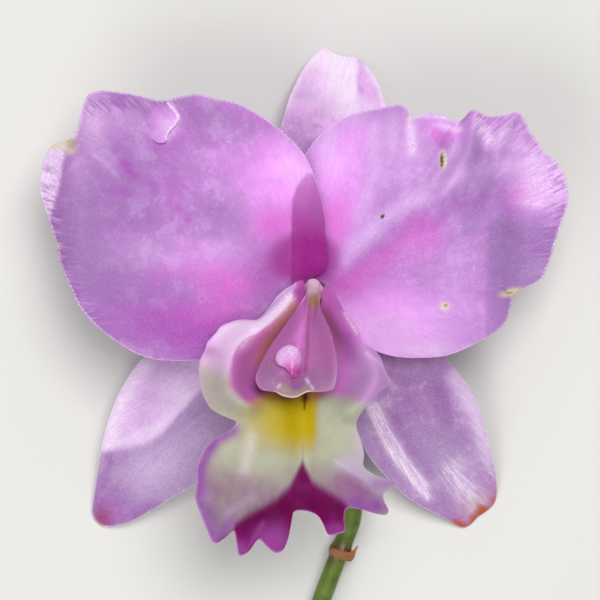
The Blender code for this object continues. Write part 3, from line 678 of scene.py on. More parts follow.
def margin_curve(keys, parts):
    """Smooth closed curve through the key places, with the key count along it."""
    keys = np.array(keys)
    after = np.roll(keys, -1, axis=0)
    gap = np.linalg.norm(after - keys, axis=1)[:, None]
    leave = 0.5 * (after - np.roll(keys, 1, axis=0))
    arrive = 0.5 * (np.roll(keys, -2, axis=0) - keys)
    leave = leave * np.minimum(1.0, gap / np.maximum(np.linalg.norm(leave, axis=1)[:, None], 1e-6))
    arrive = arrive * np.minimum(1.0, gap / np.maximum(np.linalg.norm(arrive, axis=1)[:, None], 1e-6))
    places = []
    marks = []
    for j in range(parts):
        a, b, c, d = hermite(j / parts)
        places.append(a * keys + b * leave + c * after + d * arrive)
        marks.append(np.arange(len(keys)) + j / parts)
    return np.stack(places, axis=1).reshape(-1, 2), np.stack(marks, axis=1).reshape(-1)


def one_way(turn):
    """The same row of angles, made to rise all the way."""
    rising = np.maximum.accumulate(turn)
    falling = np.minimum.accumulate(turn[::-1])[::-1]
    return 0.5 * (rising + falling) + 1.0e-5 * np.arange(len(turn)) / len(turn)


def lay_grid(centre, keys, rings, parts, teeth=0.0, tooth_length=1.0):
    """Places of one face, ring by ring; fine teeth notch the margin inwards."""
    centre = np.array(centre)
    margin, marks = margin_curve(keys, parts)
    away = margin - centre
    onward = np.roll(away, -1, axis=0)
    if (away[:, 0] * onward[:, 1] - away[:, 1] * onward[:, 0]).sum() < 0:
        margin = margin[::-1]
        marks = marks[::-1]
    if teeth > 0.0:
        # Waves of unlike lengths, so that the teeth don't look alike
        steps = np.linalg.norm(np.roll(margin, -1, axis=0) - margin, axis=1)
        run = np.concatenate([[0.0], np.cumsum(steps)[:-1]])
        wave = 0.5 + 0.3 * np.sin(2.0 * math.pi * run / tooth_length + 1.3 * np.sin(run / 3.1))
        wave = wave + 0.2 * np.sin(3.9 * math.pi * run / tooth_length + 1.7 * np.sin(run / 2.3))
        wave = wave * (0.75 + 0.25 * np.sin(run / 4.7 + 0.9))
        strength = teeth * smooth((from_hub(margin[:, 0], margin[:, 1]) - 20.0) / 12.0)
        radius = np.linalg.norm(margin - centre, axis=1)
        margin = centre + (margin - centre) * (1.0 - strength * wave / radius)[:, None]
    away = margin - centre
    radius = np.hypot(away[:, 0], away[:, 1])
    true_turn = np.unwrap(np.arctan2(away[:, 1], away[:, 0]))
    turn = one_way(true_turn)
    fractions = 1.0 - (1.0 - np.arange(1, rings + 1) / rings) ** RING_CROWDING
    places = [centre[None, :]]
    for fraction in fractions:
        angle = turn + (true_turn - turn) * fraction ** 10
        places.append(centre + fraction * np.column_stack([radius * np.cos(angle),
                                                           radius * np.sin(angle)]))
    ring = np.concatenate([[0.0], np.repeat(fractions, len(margin))])
    mark = np.concatenate([[0.0], np.tile(marks, rings)])
    return np.vstack(places), ring, mark, len(margin)


def grid_faces(rings, sectors):
    """Triangles of one face: a fan at the middle, then split squares out to the margin."""
    j = np.arange(sectors)
    after = (j + 1) % sectors
    faces = [np.column_stack([np.zeros(sectors, int), 1 + j, 1 + after])]
    for i in range(rings - 1):
        low = 1 + i * sectors
        high = low + sectors
        faces.append(np.column_stack([low + j, high + j, high + after]))
        faces.append(np.column_stack([low + j, high + after, low + after]))
    return np.vstack(faces)


def slope_normals(x, y, height, step=0.05):
    """Direction square to a height field at each place."""
    run_x = (height(x + step, y) - height(x - step, y)) / (2.0 * step)
    run_y = (height(x, y + step) - height(x, y - step)) / (2.0 * step)
    length = np.sqrt(1.0 + run_x ** 2 + run_y ** 2)
    return np.column_stack([-run_x / length, -run_y / length, 1.0 / length])


def close_sheet(top, bottom, rings, sectors):
    """Join an upper and a lower face of one layout along their margin."""
    faces = grid_faces(rings, sectors)
    count = len(top)
    rim = 1 + (rings - 1) * sectors
    j = np.arange(sectors)
    after = (j + 1) % sectors
    under = count + faces[:, [0, 2, 1]]
    side = np.vstack([
        np.column_stack([rim + j, count + rim + j, count + rim + after]),
        np.column_stack([rim + j, count + rim + after, rim + after]),
    ])
    return np.vstack([top, bottom]), np.vstack([faces, under, side])


def add_piece(name, node, points, faces, material, values):
    """One mesh piece in metres that stands for a node, with its shares as attributes."""
    moved = (points + np.array([SHIFT_X, SHIFT_Y, 0.0])) * MM
    mesh = bpy.data.meshes.new(name)
    mesh.vertices.add(len(moved))
    mesh.vertices.foreach_set("co", moved.astype(np.float32).ravel())
    mesh.loops.add(3 * len(faces))
    mesh.loops.foreach_set("vertex_index", faces.astype(np.int32).ravel())
    mesh.polygons.add(len(faces))
    mesh.polygons.foreach_set("loop_start", np.arange(0, 3 * len(faces), 3, dtype=np.int32))
    mesh.update(calc_edges=True)
    mesh.validate()
    mesh.polygons.foreach_set("use_smooth", np.ones(len(mesh.polygons), dtype=bool))
    for key, share in values.items():
        layer = mesh.attributes.new(key, "FLOAT", "POINT")
        layer.data.foreach_set("value", share.astype(np.float32))
    mesh.materials.append(material)
    piece = bpy.data.objects.new(name, mesh)
    bpy.context.scene.collection.objects.link(piece)
    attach(piece, "root")
    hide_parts(node)
    return piece


def add_sheet(name, node, top, bottom, rings, sectors, material, values):
    """A closed piece of two faces, which both take the same shares."""
    points, faces = close_sheet(top, bottom, rings, sectors)
    doubled = {key: np.tile(share, 2) for key, share in values.items()}
    return add_piece(name, node, points, faces, material, doubled)


def ruffle(x, y, ring, mark, size):
    """Slow waves of the margin, none near the hub."""
    strength = size * smooth((from_hub(x, y) - 14.0) / 14.0) * ring ** 5
    return strength * (np.sin(2.0 * math.pi * mark / 5.0 + 0.7)
                       + 0.6 * np.sin(2.0 * math.pi * mark / 3.3 + 2.1))


def add_blade(name, node, centre, keys, height, material, stains, rings, parts, thickness,
              taper=BLADE_TAPER, wave=0.0, teeth=0.0, tooth_length=1.0):
    """A thin sheet over a margin; its shares of each stain are kept for the finish."""
    flat, ring, mark, sectors = lay_grid(centre, keys, rings, parts, teeth, tooth_length)
    x, y = flat.T
    top = np.column_stack([x, y, height(x, y) + ruffle(x, y, ring, mark, wave)])
    depth = thickness * (1.0 - taper * ring ** 12)
    bottom = top - depth[:, None] * slope_normals(x, y, height)
    values = {
        "edge": ring,
        "fan": np.arctan2(y - HUB_Y, x - HUB_X),
        "out": from_hub(x, y),
    }
    # The finish reads every share, also the ones that this blade has no marks for
    values.update({key: np.zeros(len(x)) for key in BLADE_SHARES})
    values.update({key: stain(x, y, marks) for key, marks in stains.items()})
    return add_sheet(name, node, top, bottom, rings, sectors, material, values)


# Where the colours lie on the petals

def flush_core(x, y):
    """The deep round flush where both petals meet, darkest near the middle line: partly the petals' own
    deeper colour near the hub and partly painted shade.
    """
    core = spot(x, y, (0.9, 8.7), 7.3, 5.3, 0.0, 3.6) * 0.82
    return over(core, spot(x, y, (2.6, 8.8), 2.6, 4.6, 0.0, 1.6) * 0.75)


def left_petal_flush(x, y):
    """The flush with the pointed leaf above it, crisp along both its sides; the leaf is painted shade
    where the two petals overlap.
    """
    border = line_x(y, [
        (-1.8, 12.9), (-1.8, 16.7), (-1.6, 20.9), (-0.9, 23.0), (0.4, 25.1), (1.9, 26.8),
    ])
    leaf = smooth((x - border) / 0.8 + 0.5) * smooth((26.9 - y) / 1.2)
    leaf = leaf * (0.60 + 0.22 * smooth((21.0 - y) / 7.0))
    low = 0.30 * spot(x, y, (-6.6, 5.6), 4.2, 3.4, -20.0, 1.2)
    return over(flush_core(x, y), leaf, low)


def left_petal_light(x, y):
    """The bent-back strip at the far left and the rim of the ear catch the light."""
    line = line_x(y, [
        (-53.4, 16.0), (-52.5, 17.8), (-51.5, 21.0), (-50.6, 24.1), (-50.0, 28.3), (-49.1, 31.5),
        (-47.6, 34.0),
    ])
    strip = smooth((line - x) / 1.4 + 0.3) * smooth((y - 14.0) / 6.0)
    marks = [
        ([(-27.4, 41.4), (-25.5, 38.8), (-25.4, 37.8), (-26.7, 35.4), (-28.0, 33.7)], 0.38, 0.85),
        ((-27.6, 37.0), 1.5, 3.0, 0.45, -20.0, 1.4),
        ((-43.8, 37.2), 2.6, 5.4, 0.42, 8.0),
        ((-1.5, 27.5), 3.4, 3.0, 0.35),
    ]
    return over(0.88 * strip, stain(x, y, marks))


LEFT_PETAL_STAINS = {
    "shade": [
        ((-46.5, 10.0), 7.5, 12.0, 0.74, 12.0, 1.3),
        ((-41.0, 22.0), 8.0, 4.5, 0.45, 0.0, 1.0),
        ((-38.5, 1.5), 9.0, 5.0, 0.50, 0.0, 1.0),
        ((-40.5, 29.0), 6.5, 4.0, 0.28, -20.0, 1.0),
        ((-35.0, 41.3), 7.0, 1.4, 0.45, 0.0, 1.0),
        ((-17.5, 38.8), 7.0, 2.0, 0.30, -22.0, 1.0),
        ([(-25.0, 38.4), (-26.2, 35.4), (-27.2, 33.6)], 0.8, 0.40),
        ([(-44.4, 37.0), (-43.8, 33.0)], 0.7, 0.30),
        ((-14.0, 15.0), 5.0, 6.0, 0.14, 0.0, 1.0),
    ],
    "deep": [
        # The first two deep patches, along the lower side, are partly the petal's own colour and partly
        # painted shade where it turns away from the light
        ((-24.0, -5.6), 10.0, 4.2, 0.85, -6.0, 1.4),
        ((-17.0, -7.0), 9.0, 4.4, 0.80, 0.0, 1.4),
        ((-34.0, -3.5), 9.0, 6.0, 0.40, 10.0, 1.0),
        ((-8.0, 5.0), 5.5, 4.6, 0.55, 20.0),
        ((-38.8, 31.7), 0.9, 0.8, 0.45, 0.0, 1.4),
        ((-36.3, 28.0), 1.9, 1.1, 0.85, -48.0, 1.6),
        ((-35.0, 26.3), 1.3, 0.8, 0.60, -20.0, 1.4),
        ((-30.8, 23.4), 1.0, 1.5, 0.55, -10.0, 1.4),
        ((-33.2, 21.9), 1.2, 0.7, 0.30, 0.0, 1.4),
        # Painted shadow under the free edge of the ear
        ([(-31.9, 34.2), (-30.6, 32.2), (-28.4, 31.6)], 1.1, 0.62),
        ((-38.2, 22.8), 2.6, 1.0, 0.62, -8.0, 1.3),
        ((-27.4, 21.0), 1.1, 0.7, 0.50, -30.0, 1.4),
        ((-25.4, 19.2), 0.9, 0.8, 0.62, -30.0, 1.4),
        ((-23.2, 17.0), 0.8, 1.1, 0.70, 0.0, 1.4),
        ([(-29.4, -3.4), (-28.6, -6.4), (-26.8, -9.0)], 0.8, 0.35),
        ([(-26.4, -3.6), (-26.0, -8.6)], 0.6, 0.25),
        ((-26.4, 26.8), 0.8, 4.6, 0.22, 0.0, 1.0),
        ((-30.5, 16.8), 3.5, 1.4, 0.20, 8.0, 1.0),
    ],
    "rose": [
        # Rose in the upper middle is painted light where the petal faces the light
        ((-4.6, 23.6), 6.4, 8.0, 0.78, 0.0, 1.5),
        ((-24.5, 24.0), 5.0, 7.0, 0.14),
        ((-2.0, 28.0), 6.5, 3.8, 0.80, -35.0),
        ((-12.0, 27.5), 6.0, 5.5, 0.36, 20.0, 1.0),
        ((-17.5, 29.4), 4.0, 1.8, 0.22, -10.0, 1.0),
        ((-20.0, 9.0), 6.0, 4.0, 0.35, 0.0, 1.0),
        ((-28.0, 36.6), 2.6, 3.4, 0.55, -20.0, 1.4),
        ((-11.5, 40.0), 6.0, 1.4, 0.25, -22.0, 1.0),
    ],
    "hot": [
        ((-4.8, 15.6), 5.2, 3.4, 0.72, 16.0, 1.3),
        ((-15.2, 3.0), 5.4, 4.6, 0.62, -20.0),
        ((-17.5, -2.8), 7.0, 2.2, 0.35),
        ((-24.0, 9.5), 3.0, 3.0, 0.16, 0.0, 1.0),
        ((-27.0, 6.0), 6.0, 1.6, 0.20, 0.0, 1.0),
    ],
    "pale": [
        ((-31.0, 10.0), 9.0, 3.0, 0.34, -4.0),
        ([(-43.2, 30.2), (-40.4, 28.4), (-38.4, 26.0)], 0.5, 0.34),
        ((-13.5, 11.0), 4.6, 3.0, 0.30, 0.0, 1.0),
        ((-38.0, 37.0), 6.0, 3.0, 0.34, 0.0, 1.0),
        ((-46.8, 26.8), 2.4, 5.0, 0.20, 0.0, 1.0),
    ],
    "light": left_petal_light,
    "flush": left_petal_flush,
    "pleat": [
        ([(-53.0, 18.0), (-51.6, 10.0)], 3.0, 1.0),
        ([(-51.0, 7.0), (-47.6, 0.6), (-42.4, -5.6)], 2.6, 0.75),
        ([(-54.0, 28.0), (-53.4, 20.0)], 2.0, 0.35),
        ([(-44.4, 40.6), (-36.0, 41.4), (-28.0, 41.2)], 1.8, 0.65),
    ],
    "straw": [
        ((-50.6, 33.2), 3.0, 0.95, 0.90, 10.0, 2.0),
        ((-48.4, 32.0), 1.2, 1.2, 0.70, 0.0, 1.6),
        ((-51.4, 11.4), 1.3, 0.5, 0.50, 12.0, 1.4),
    ],
    "scar": [
        ((-48.2, 32.9), 1.2, 1.5, 0.40, 30.0, 1.6),
    ],
}


def heart_mark(x, y):
    """Small heart-shaped patch over the hole near the top."""
    left = line_x(y, [(30.3, 31.0), (29.0, 32.2), (27.8, 33.6), (27.2, 34.8), (27.9, 36.0)])
    right = line_x(y, [(30.5, 31.0), (31.6, 32.2), (32.9, 33.6), (33.6, 34.8), (33.0, 36.0)])
    top = 35.6 + 0.5 * np.cos(1.9 * (x - 28.7))
    return (smooth((x - left) / 0.4 + 0.5) * smooth((right - x) / 0.7 + 0.5)
            * smooth((top - y) / 0.6 + 0.5) * smooth((y - 31.1) / 0.6))


def right_petal_shade(x, y):
    """The shaded end at the right, the shaded strip above it and the fold lines at the top."""
    line = line_x(y, [(38.7, -8.0), (38.6, 0.0), (39.3, 12.6), (38.9, 18.0)])
    end = smooth((x - line) / 0.9 + 0.4) * smooth((19.5 - y) / 5.0)
    far = line_x(y, [
        (37.6, 12.0), (38.8, 17.0), (39.6, 20.0), (41.2, 24.0), (41.6, 30.0), (38.2, 33.6),
        (36.6, 37.5),
    ])
    strip = smooth((x - 33.9) / 0.7 + 0.5) * smooth((far - x) / 2.4 + 0.3)
    strip = strip * smooth((y - 12.6) / 2.0) * smooth((38.6 - y) / 1.0)
    marks = [
        ([(43.8, 36.0), (43.4, 31.5)], 1.0, 0.26),
        ((30.4, 32.4), 1.0, 1.3, 0.80, 0.0, 1.6),
        ([(46.5, 37.6), (47.4, 33.2)], 0.8, 0.20),
        ((42.5, 24.5), 4.0, 3.4, 0.42, 20.0),
        ((49.0, 10.4), 6.4, 7.4, 0.46, 0.0, 1.4),
        ((16.8, 38.6), 6.5, 1.4, 0.30, 0.0, 1.0),
        ([(41.0, 16.6), (50.0, 14.4)], 1.6, 0.40),
    ]
    return over(0.84 * end, 0.66 * strip, stain(x, y, marks))


def right_petal_pale(x, y):
    """Painted light: the pale band on the fold along the middle, and paler places on the pleats at the
    top and on the lower part, which face the light.
    """
    marks = [
        ([(9.6, 8.6), (11.6, 11.6), (15.8, 15.6), (22.0, 20.4), (33.6, 26.0)], 1.9, 0.70),
        ([(15.6, 36.0), (15.4, 27.0), (12.4, 17.0)], 1.4, 0.50),
        ((29.0, -5.6), 8.0, 5.0, 0.34),
        ((18.8, 32.4), 5.0, 5.0, 0.34),
        ((33.0, 26.6), 3.5, 1.6, 0.30, 20.0, 1.0),
        ((46.0, 28.6), 7.0, 2.2, 0.45, 10.0),
        ((24.0, 27.0), 4.0, 5.0, 0.20, 0.0, 1.0),
        ([(4.6, 32.4), (8.6, 36.8), (13.0, 38.8)], 2.0, 0.50),
        ((31.0, 30.6), 3.6, 4.0, 0.50),
        ((34.0, 6.0), 4.0, 6.0, 0.16, 0.0, 1.0),
    ]
    return stain(x, y, marks) * (1.0 - 0.85 * heart_mark(x, y))


def right_petal_light(x, y):
    """The lit end at the right, the white streak and the bright fold."""
    marks = [
        ((51.4, 25.0), 5.2, 5.6, 0.62, -12.0, 1.7),
        ((49.6, 20.4), 4.0, 1.0, 0.40),
        ((43.4, 35.4), 4.0, 3.0, 0.34, -16.0, 1.3),
        ((48.6, 31.4), 2.4, 2.0, 0.38, -40.0, 1.3),
        ([(23.2, 36.4), (23.4, 31.0)], 1.2, 0.70),
        ([(19.6, 38.0), (19.2, 32.0)], 1.2, 0.22),
        ((50.0, 5.6), 4.0, 3.0, 0.12),
        ([(37.6, 37.4), (39.9, 33.4)], 1.6, 0.66),
        ([(23.0, 38.0), (25.5, 38.8), (30.0, 38.2), (33.0, 37.2)], 0.6, 0.60),
        ((7.0, 29.0), 3.6, 3.6, 0.25),
        ((17.0, -6.4), 9.0, 4.2, 0.44, -6.0),
        ((26.0, -10.6), 7.0, 1.6, 0.45),
        ((31.4, 36.2), 2.4, 0.7, 0.85, -10.0, 1.4),
    ]
    return stain(x, y, marks)


def right_petal_hot(x, y):
    """Hot pink beside the flush, the magenta band across the middle and the heart mark."""
    marks = [
        ((7.0, 15.6), 3.2, 6.4, 0.62, -8.0, 1.4),
        ([(9.6, 3.4), (14.6, 8.0), (20.6, 11.4), (25.6, 14.6)], 2.5, 0.36),
        ([(9.0, 2.6), (17.0, 6.6), (23.0, 8.8), (28.0, 11.4)], 2.8, 0.28),
        ((8.2, 5.4), 2.6, 3.2, 0.42),
        ((26.0, 14.6), 4.2, 3.2, 0.26, 20.0, 1.6),
        ((11.6, 2.6), 4.0, 3.0, 0.30, 20.0, 1.0),
        ((46.6, 22.6), 3.2, 1.6, 0.30, 0.0, 1.0),
        ((46.0, 33.4), 1.6, 1.8, 0.18, 0.0, 1.0),
    ]
    heart = heart_mark(x, y) * (0.36 - 0.06 * (x - 29.0))
    return over(stain(x, y, marks), heart)


RIGHT_PETAL_STAINS = {
    "shade": right_petal_shade,
    "deep": [
        ([(24.0, 16.2), (27.0, 15.6), (29.6, 13.0)], 2.4, 0.42),
        ([(9.6, 3.4), (14.6, 8.0), (20.6, 11.4)], 2.0, 0.16),
        ([(16.0, 8.6), (20.0, 10.8)], 2.0, 0.22),
        ((36.0, 20.6), 4.0, 1.6, 0.25, 30.0, 1.0),
        ((46.2, 20.4), 3.6, 2.0, 0.55, 10.0, 1.3),
        ((28.6, 33.4), 1.6, 1.8, 0.30, 0.0, 1.4),
        ((24.4, 31.4), 1.6, 1.2, 0.16),
        ([(43.0, 14.6), (52.0, 10.6)], 1.2, 0.25),
    ],
    "rose": [
        ((8.2, 24.0), 6.0, 12.5, 0.76, -6.0, 1.8),
        ((12.0, 33.0), 5.0, 4.0, 0.35),
        # The two broad rose patches low on the petal are painted light where it faces the light
        ((17.0, -5.0), 11.0, 7.0, 1.0, -6.0, 2.2),
        ((28.0, -3.0), 12.0, 6.5, 0.30),
        ((30.0, 36.0), 7.0, 2.4, 0.40),
        ((20.0, 30.0), 6.0, 7.0, 0.12, 0.0, 1.0),
        ((51.0, 24.0), 4.6, 6.0, 0.50),
    ],
    "hot": right_petal_hot,
    "pale": right_petal_pale,
    "light": right_petal_light,
    "flush": flush_core,
    "pleat": [
        ([(55.0, 27.0), (55.4, 20.0), (53.0, 10.0)], 3.0, 0.65),
        ([(38.0, 38.0), (46.0, 37.0), (50.0, 32.0)], 2.6, 0.50),
    ],
    "straw": [
        ((29.9, 29.3), 0.84, 2.0, 0.80, 2.0, 4.0),
        ((30.1, -1.3), 0.95, 0.85, 0.85, 0.0, 2.4),
        ((44.4, 1.6), 2.3, 0.8, 0.80, 14.0, 1.8),
        ((23.0, 37.9), 0.6, 0.6, 0.60, 0.0, 1.5),
    ],
    "scar": [
        ((29.7, 29.2), 0.42, 1.7, 1.0, 2.0, 2.0),
        ((30.3, -1.1), 0.40, 0.36, 0.75, 0.0, 2.0),
        ([(42.4, 2.6), (43.6, 1.4), (44.6, 1.6)], 0.28, 0.60),
        ((17.1, 17.2), 0.44, 0.44, 1.2, 0.0, 4.0),
    ],
}


# Where the colours lie on the sepals

def top_sepal_light(x, y):
    """Painted light: a bright field where the sepal faces the light, ending at a crisp fold on its
    right, and light margins.
    """
    fold = line_x(y, [(12.9, 42.0), (12.5, 49.0), (12.9, 54.0)])
    field = over(0.95 * spot(x, y, (9.4, 51.0), 5.6, 6.4, 0.0, 1.5),
                 0.62 * spot(x, y, (11.2, 44.6), 3.0, 5.4, 0.0, 1.3))
    marks = [
        ([(-3.2, 42.4), (0.2, 50.0), (4.4, 54.8)], 0.9, 0.50),
        ([(14.6, 52.0), (17.6, 46.6), (18.8, 40.6)], 0.7, 0.60),
        ((5.0, 53.8), 4.0, 2.2, 0.70),
        ((14.6, 42.0), 2.6, 2.0, 0.40),
    ]
    return over(field * smooth((fold - x) / 1.3 + 0.5), stain(x, y, marks))


TOP_SEPAL_STAINS = {
    "shade": [
        ((-1.0, 33.0), 7.0, 6.5, 0.35, 0.0, 1.3),
        ((-2.6, 38.0), 2.6, 4.0, 0.25),
    ],
    "deep": [
        ((1.4, 31.6), 3.4, 4.6, 0.55),
        ((-0.6, 38.4), 4.6, 4.6, 0.22),
        ((13.4, 46.3), 0.7, 1.0, 0.75, 20.0, 1.8),
        ((0.4, 45.6), 1.8, 1.2, 0.30, 30.0, 1.3),
        ((14.4, 51.4), 1.2, 2.0, 0.30),
        ([(1.8, 40.6), (2.6, 38.2), (4.6, 37.8)], 0.5, 0.30),
    ],
    "rose": [
        ((4.0, 47.0), 9.0, 8.0, 0.25),
        ((14.8, 45.5), 3.6, 8.5, 0.55, 12.0, 1.5),
        ((5.6, 51.6), 3.0, 2.6, 0.50),
    ],
    "hot": [
        ((4.2, 40.8), 1.8, 1.4, 0.50, 20.0, 1.8),
        ((4.6, 50.2), 2.8, 0.8, 0.34, -24.0, 1.3),
        ((0.2, 40.4), 2.6, 3.0, 0.22),
    ],
    "pale": [
        ((3.0, 43.5), 8.0, 3.2, 0.50),
        ((9.6, 41.0), 4.5, 3.0, 0.45),
    ],
    "light": top_sepal_light,
}


def left_sepal_lit(x, y):
    """The half on the lit side of the keel."""
    keel = line_y(x, [
        (-46.0, -33.8), (-43.8, -33.4), (-37.8, -32.4), (-32.9, -31.0), (-29.8, -28.8),
        (-26.6, -25.1), (-21.1, -19.0), (-14.0, -12.0),
    ])
    return smooth((y - keel) / 2.0 + 0.5)


def left_sepal_shade(x, y):
    """The half beyond the keel and the tip are shaded."""
    return over(0.66 * (1.0 - left_sepal_lit(x, y)),
                0.7 * spot(x, y, (-42.0, -44.0), 5.0, 5.0, 0.0, 1.3))


def left_sepal_pale(x, y):
    """Painted highlight along the lit side of the keel, and pale places near the margins."""
    band = ridge(x, y, [(-39.0, -31.4), (-34.0, -30.0), (-30.0, -27.6), (-26.4, -23.6), (-20.6, -17.2)],
                 1.7, 0.50)
    marks = [
        ((-32.0, -36.6), 8.0, 4.2, 0.40, 30.0),
        ((-41.5, -27.5), 1.6, 6.0, 0.60, 12.0),
    ]
    return over(band * left_sepal_lit(x, y), stain(x, y, marks))


def left_sepal_light(x, y):
    """Glitter on the lit half, strongest along its margin and its keel."""
    marks = [
        ([(-34.0, -14.6), (-38.4, -21.0), (-41.0, -27.6), (-42.6, -32.0)], 2.0, 0.50),
        ([(-24.0, -20.6), (-30.0, -26.8), (-37.0, -30.6)], 1.6, 0.20),
        ((-26.6, -18.6), 3.0, 2.6, 0.25, 40.0),
    ]
    return (1.0 - 0.80 * (1.0 - stain(x, y, marks))) * left_sepal_lit(x, y)


LEFT_SEPAL_STAINS = {
    "shade": left_sepal_shade,
    "deep": [
        ((-40.2, -34.6), 2.5, 2.0, 0.80, 14.0, 2.4),
        ([(-42.0, -35.6), (-43.2, -40.0)], 1.2, 0.62),
        ((-41.6, -44.6), 5.4, 5.0, 0.84, 0.0, 1.3),
        ([(-32.6, -20.6), (-34.4, -26.4)], 1.8, 0.32),
        ((-29.8, -16.2), 3.4, 2.0, 0.24, 52.0),
        ((-28.6, -15.0), 3.4, 2.6, 0.28, 40.0, 1.0),
        ([(-43.0, -49.6), (-38.0, -48.6), (-32.0, -45.0)], 1.6, 0.65),
        ((-31.0, -22.4), 3.0, 2.0, 0.20, 40.0, 1.0),
    ],
    # Rose on the lit half is painted light
    "rose": lambda x, y: 0.40 * left_sepal_lit(x, y),
    "hot": [
        ((-42.6, -47.6), 4.0, 3.0, 0.20),
    ],
    "pale": left_sepal_pale,
    "light": left_sepal_light,
    "flush": [
        ((-44.0, -48.4), 2.2, 2.2, 0.75, 40.0, 1.4),
    ],
    "scar": [
        ((-44.6, -49.6), 1.0, 0.8, 0.35, -30.0, 1.5),
    ],
}


RIGHT_SEPAL_FOLD = [(15.4, -22.4), (18.0, -28.0), (21.6, -34.2), (28.0, -42.6)]


def right_sepal_burn(x, y):
    """The tip is burnt along its edge, and the burn fades inwards."""
    edge = reach(x, y, [(43.6, -44.0), (42.8, -46.0), (41.2, -47.4), (39.4, -48.6),
                        (37.6, -50.3), (34.6, -49.9)])
    wide = 1.6 + 0.9 * smooth((x - 35.0) / 4.0) - 0.8 * smooth((x - 41.0) / 2.0)
    lean = np.arctan2(y - HUB_Y, x - HUB_X)
    ragged = wide + 0.5 * np.sin(60.0 * lean) + 0.35 * np.sin(131.0 * lean + 1.0)
    return 0.92 * smooth((ragged - edge) / 2.8 + 0.2)


def right_sepal_light(x, y):
    """Painted highlights: a white glittering stripe along the fold, and light streaks at the margin and
    the tip.
    """
    marks = [
        ([(14.6, -22.4), (16.8, -27.6), (19.2, -32.2), (22.2, -36.4), (28.0, -43.4)], 0.7, 0.85),
        ([(16.4, -22.6), (19.0, -28.2), (23.0, -34.6), (27.8, -41.0)], 0.6, 0.60),
        (RIGHT_SEPAL_FOLD, 1.6, 0.40),
        ([(33.6, -37.4), (36.4, -41.6), (38.6, -45.2)], 3.0, 0.62),
        ([(34.6, -17.0), (38.4, -24.8), (40.6, -32.0), (42.4, -39.0)], 1.9, 0.36),
    ]
    return stain(x, y, marks)


RIGHT_SEPAL_STAINS = {
    "shade": [
        ((36.0, -33.0), 7.0, 5.0, 0.30),
        ((30.6, -35.4), 4.6, 6.4, 0.56, 40.0, 1.3),
        ((26.4, -37.4), 3.4, 3.4, 0.45, 0.0, 1.3),
        ([(12.9, -24.0), (14.0, -31.0), (19.0, -38.0)], 1.9, 0.60),
        ((27.0, -29.0), 5.0, 5.0, 0.30, 0.0, 1.0),
        ((31.0, -46.4), 5.0, 2.6, 0.35, 30.0, 1.0),
    ],
    "deep": [
        ([(30.4, -19.6), (32.4, -26.0)], 2.0, 0.50),
        ([(20.6, -26.4), (24.6, -33.2), (28.0, -37.6)], 1.5, 0.36),
        ((23.6, -21.6), 1.8, 1.6, 0.35),
        ((18.6, -36.0), 2.0, 1.2, 0.30, 50.0),
    ],
    "rose": [
        ((25.0, -13.6), 8.0, 2.2, 0.50),
        ((38.0, -24.0), 2.6, 9.0, 0.35, 22.0, 1.0),
    ],
    "hot": [
        ((41.0, -43.0), 3.0, 2.6, 0.20),
        ((36.5, -48.6), 4.0, 1.6, 0.30, 20.0),
    ],
    "pale": [
        # The pale streaks are painted highlights along the fold, the right margin and near the tip
        (RIGHT_SEPAL_FOLD, 1.8, 0.34),
        ([(33.4, -16.4), (38.6, -25.0), (42.0, -34.6)], 1.9, 0.62),
        ([(34.4, -38.8), (38.4, -45.0)], 1.3, 0.45),
    ],
    "light": right_sepal_light,
    "flush": [((34.8, -49.4), 3.4, 1.2, 0.25, 22.0)],
    "straw": [((38.8, -45.4), 3.6, 1.8, 0.50, 36.0)],
    "scar": right_sepal_burn,
}


# Where the colours lie on the lip

def lip_outside(x, y):
    """Share of 1 on the outer side of the left lobe, beyond its crest."""
    crest = line_x(y, [
        (-10.6, -21.3), (-12.6, -19.3), (-14.2, -17.3), (-14.3, -14.6), (-13.8, -11.8),
        (-12.8, -9.3), (-11.8, -8.3), (-10.3, -7.3), (-8.5, -6.5), (-6.9, -5.3), (-5.1, -3.9),
        (-3.5, -2.4), (-2.4, -1.2), (-1.8, 0.0), (-1.6, 1.6), (-0.9, 3.0),
    ])
    soft = line_x(y, [(2.8, -20.0), (1.8, -15.0), (0.8, -11.0), (0.4, -8.0), (0.3, 0.0)])
    return smooth((crest - x) / soft + 0.5) * smooth((y + 25.0) / 3.0)


def lip_cream(x, y):
    """Cream covers the lower outer side of the left lobe and the middle of the front lobe."""
    border = line_y(x, [
        (-12.5, -20.6), (-10.0, -22.2), (-6.0, -20.8), (6.0, -19.4), (10.0, -19.8), (14.0, -21.4),
        (16.5, -22.6),
    ])
    front = smooth((border - y) / 3.2 + 0.5)
    return np.clip(lip_outside(x, y) + front, 0.0, 1.0)


def lip_blush(x, y):
    """Pinkish white on the upper outer side of the left lobe: partly the lobe's own pale colour and
    partly painted light, strongest at the top, where it faces the light.
    """
    upper = smooth((y + 15.6 + 0.30 * (x + 20.0)) / 5.0)
    return lip_outside(x, y) * (0.12 * smooth((y + 22.0) / 3.0) + 0.80 * upper)


def lip_yellow(x, y):
    """Yellow below the column, fading slowly to the left and to the front."""
    left = 0.9 * smooth((x + 15.0) / 15.0)
    right = smooth((4.4 - x) / 2.4)
    start = smooth((line_y(x, [(-12.0, -20.4), (-6.0, -17.8), (-1.0, -17.0)]) - y) / 1.6)
    end = smooth((y + 33.4 - 0.16 * np.abs(x + 1.0)) / 7.5)
    return 1.0 - (1.0 - left * right * start * end) ** 2.1


def lip_magenta(x, y):
    """The magenta front, whose upper border rises to a point at the middle groove."""
    border = line_y(x, [
        (-21.0, -53.5), (-14.0, -48.5), (-13.0, -46.0), (-10.2, -43.8), (-7.6, -42.6),
        (-5.0, -41.0), (-2.0, -38.4), (-0.9, -36.2), (0.5, -33.4), (1.6, -35.8), (2.4, -37.4),
        (5.0, -39.0), (8.2, -41.0), (9.6, -42.4), (10.6, -44.6), (20.0, -47.0),
    ])
    return 1.0 - (1.0 - smooth((border - y) / 5.2 + 0.50)) ** 2.0


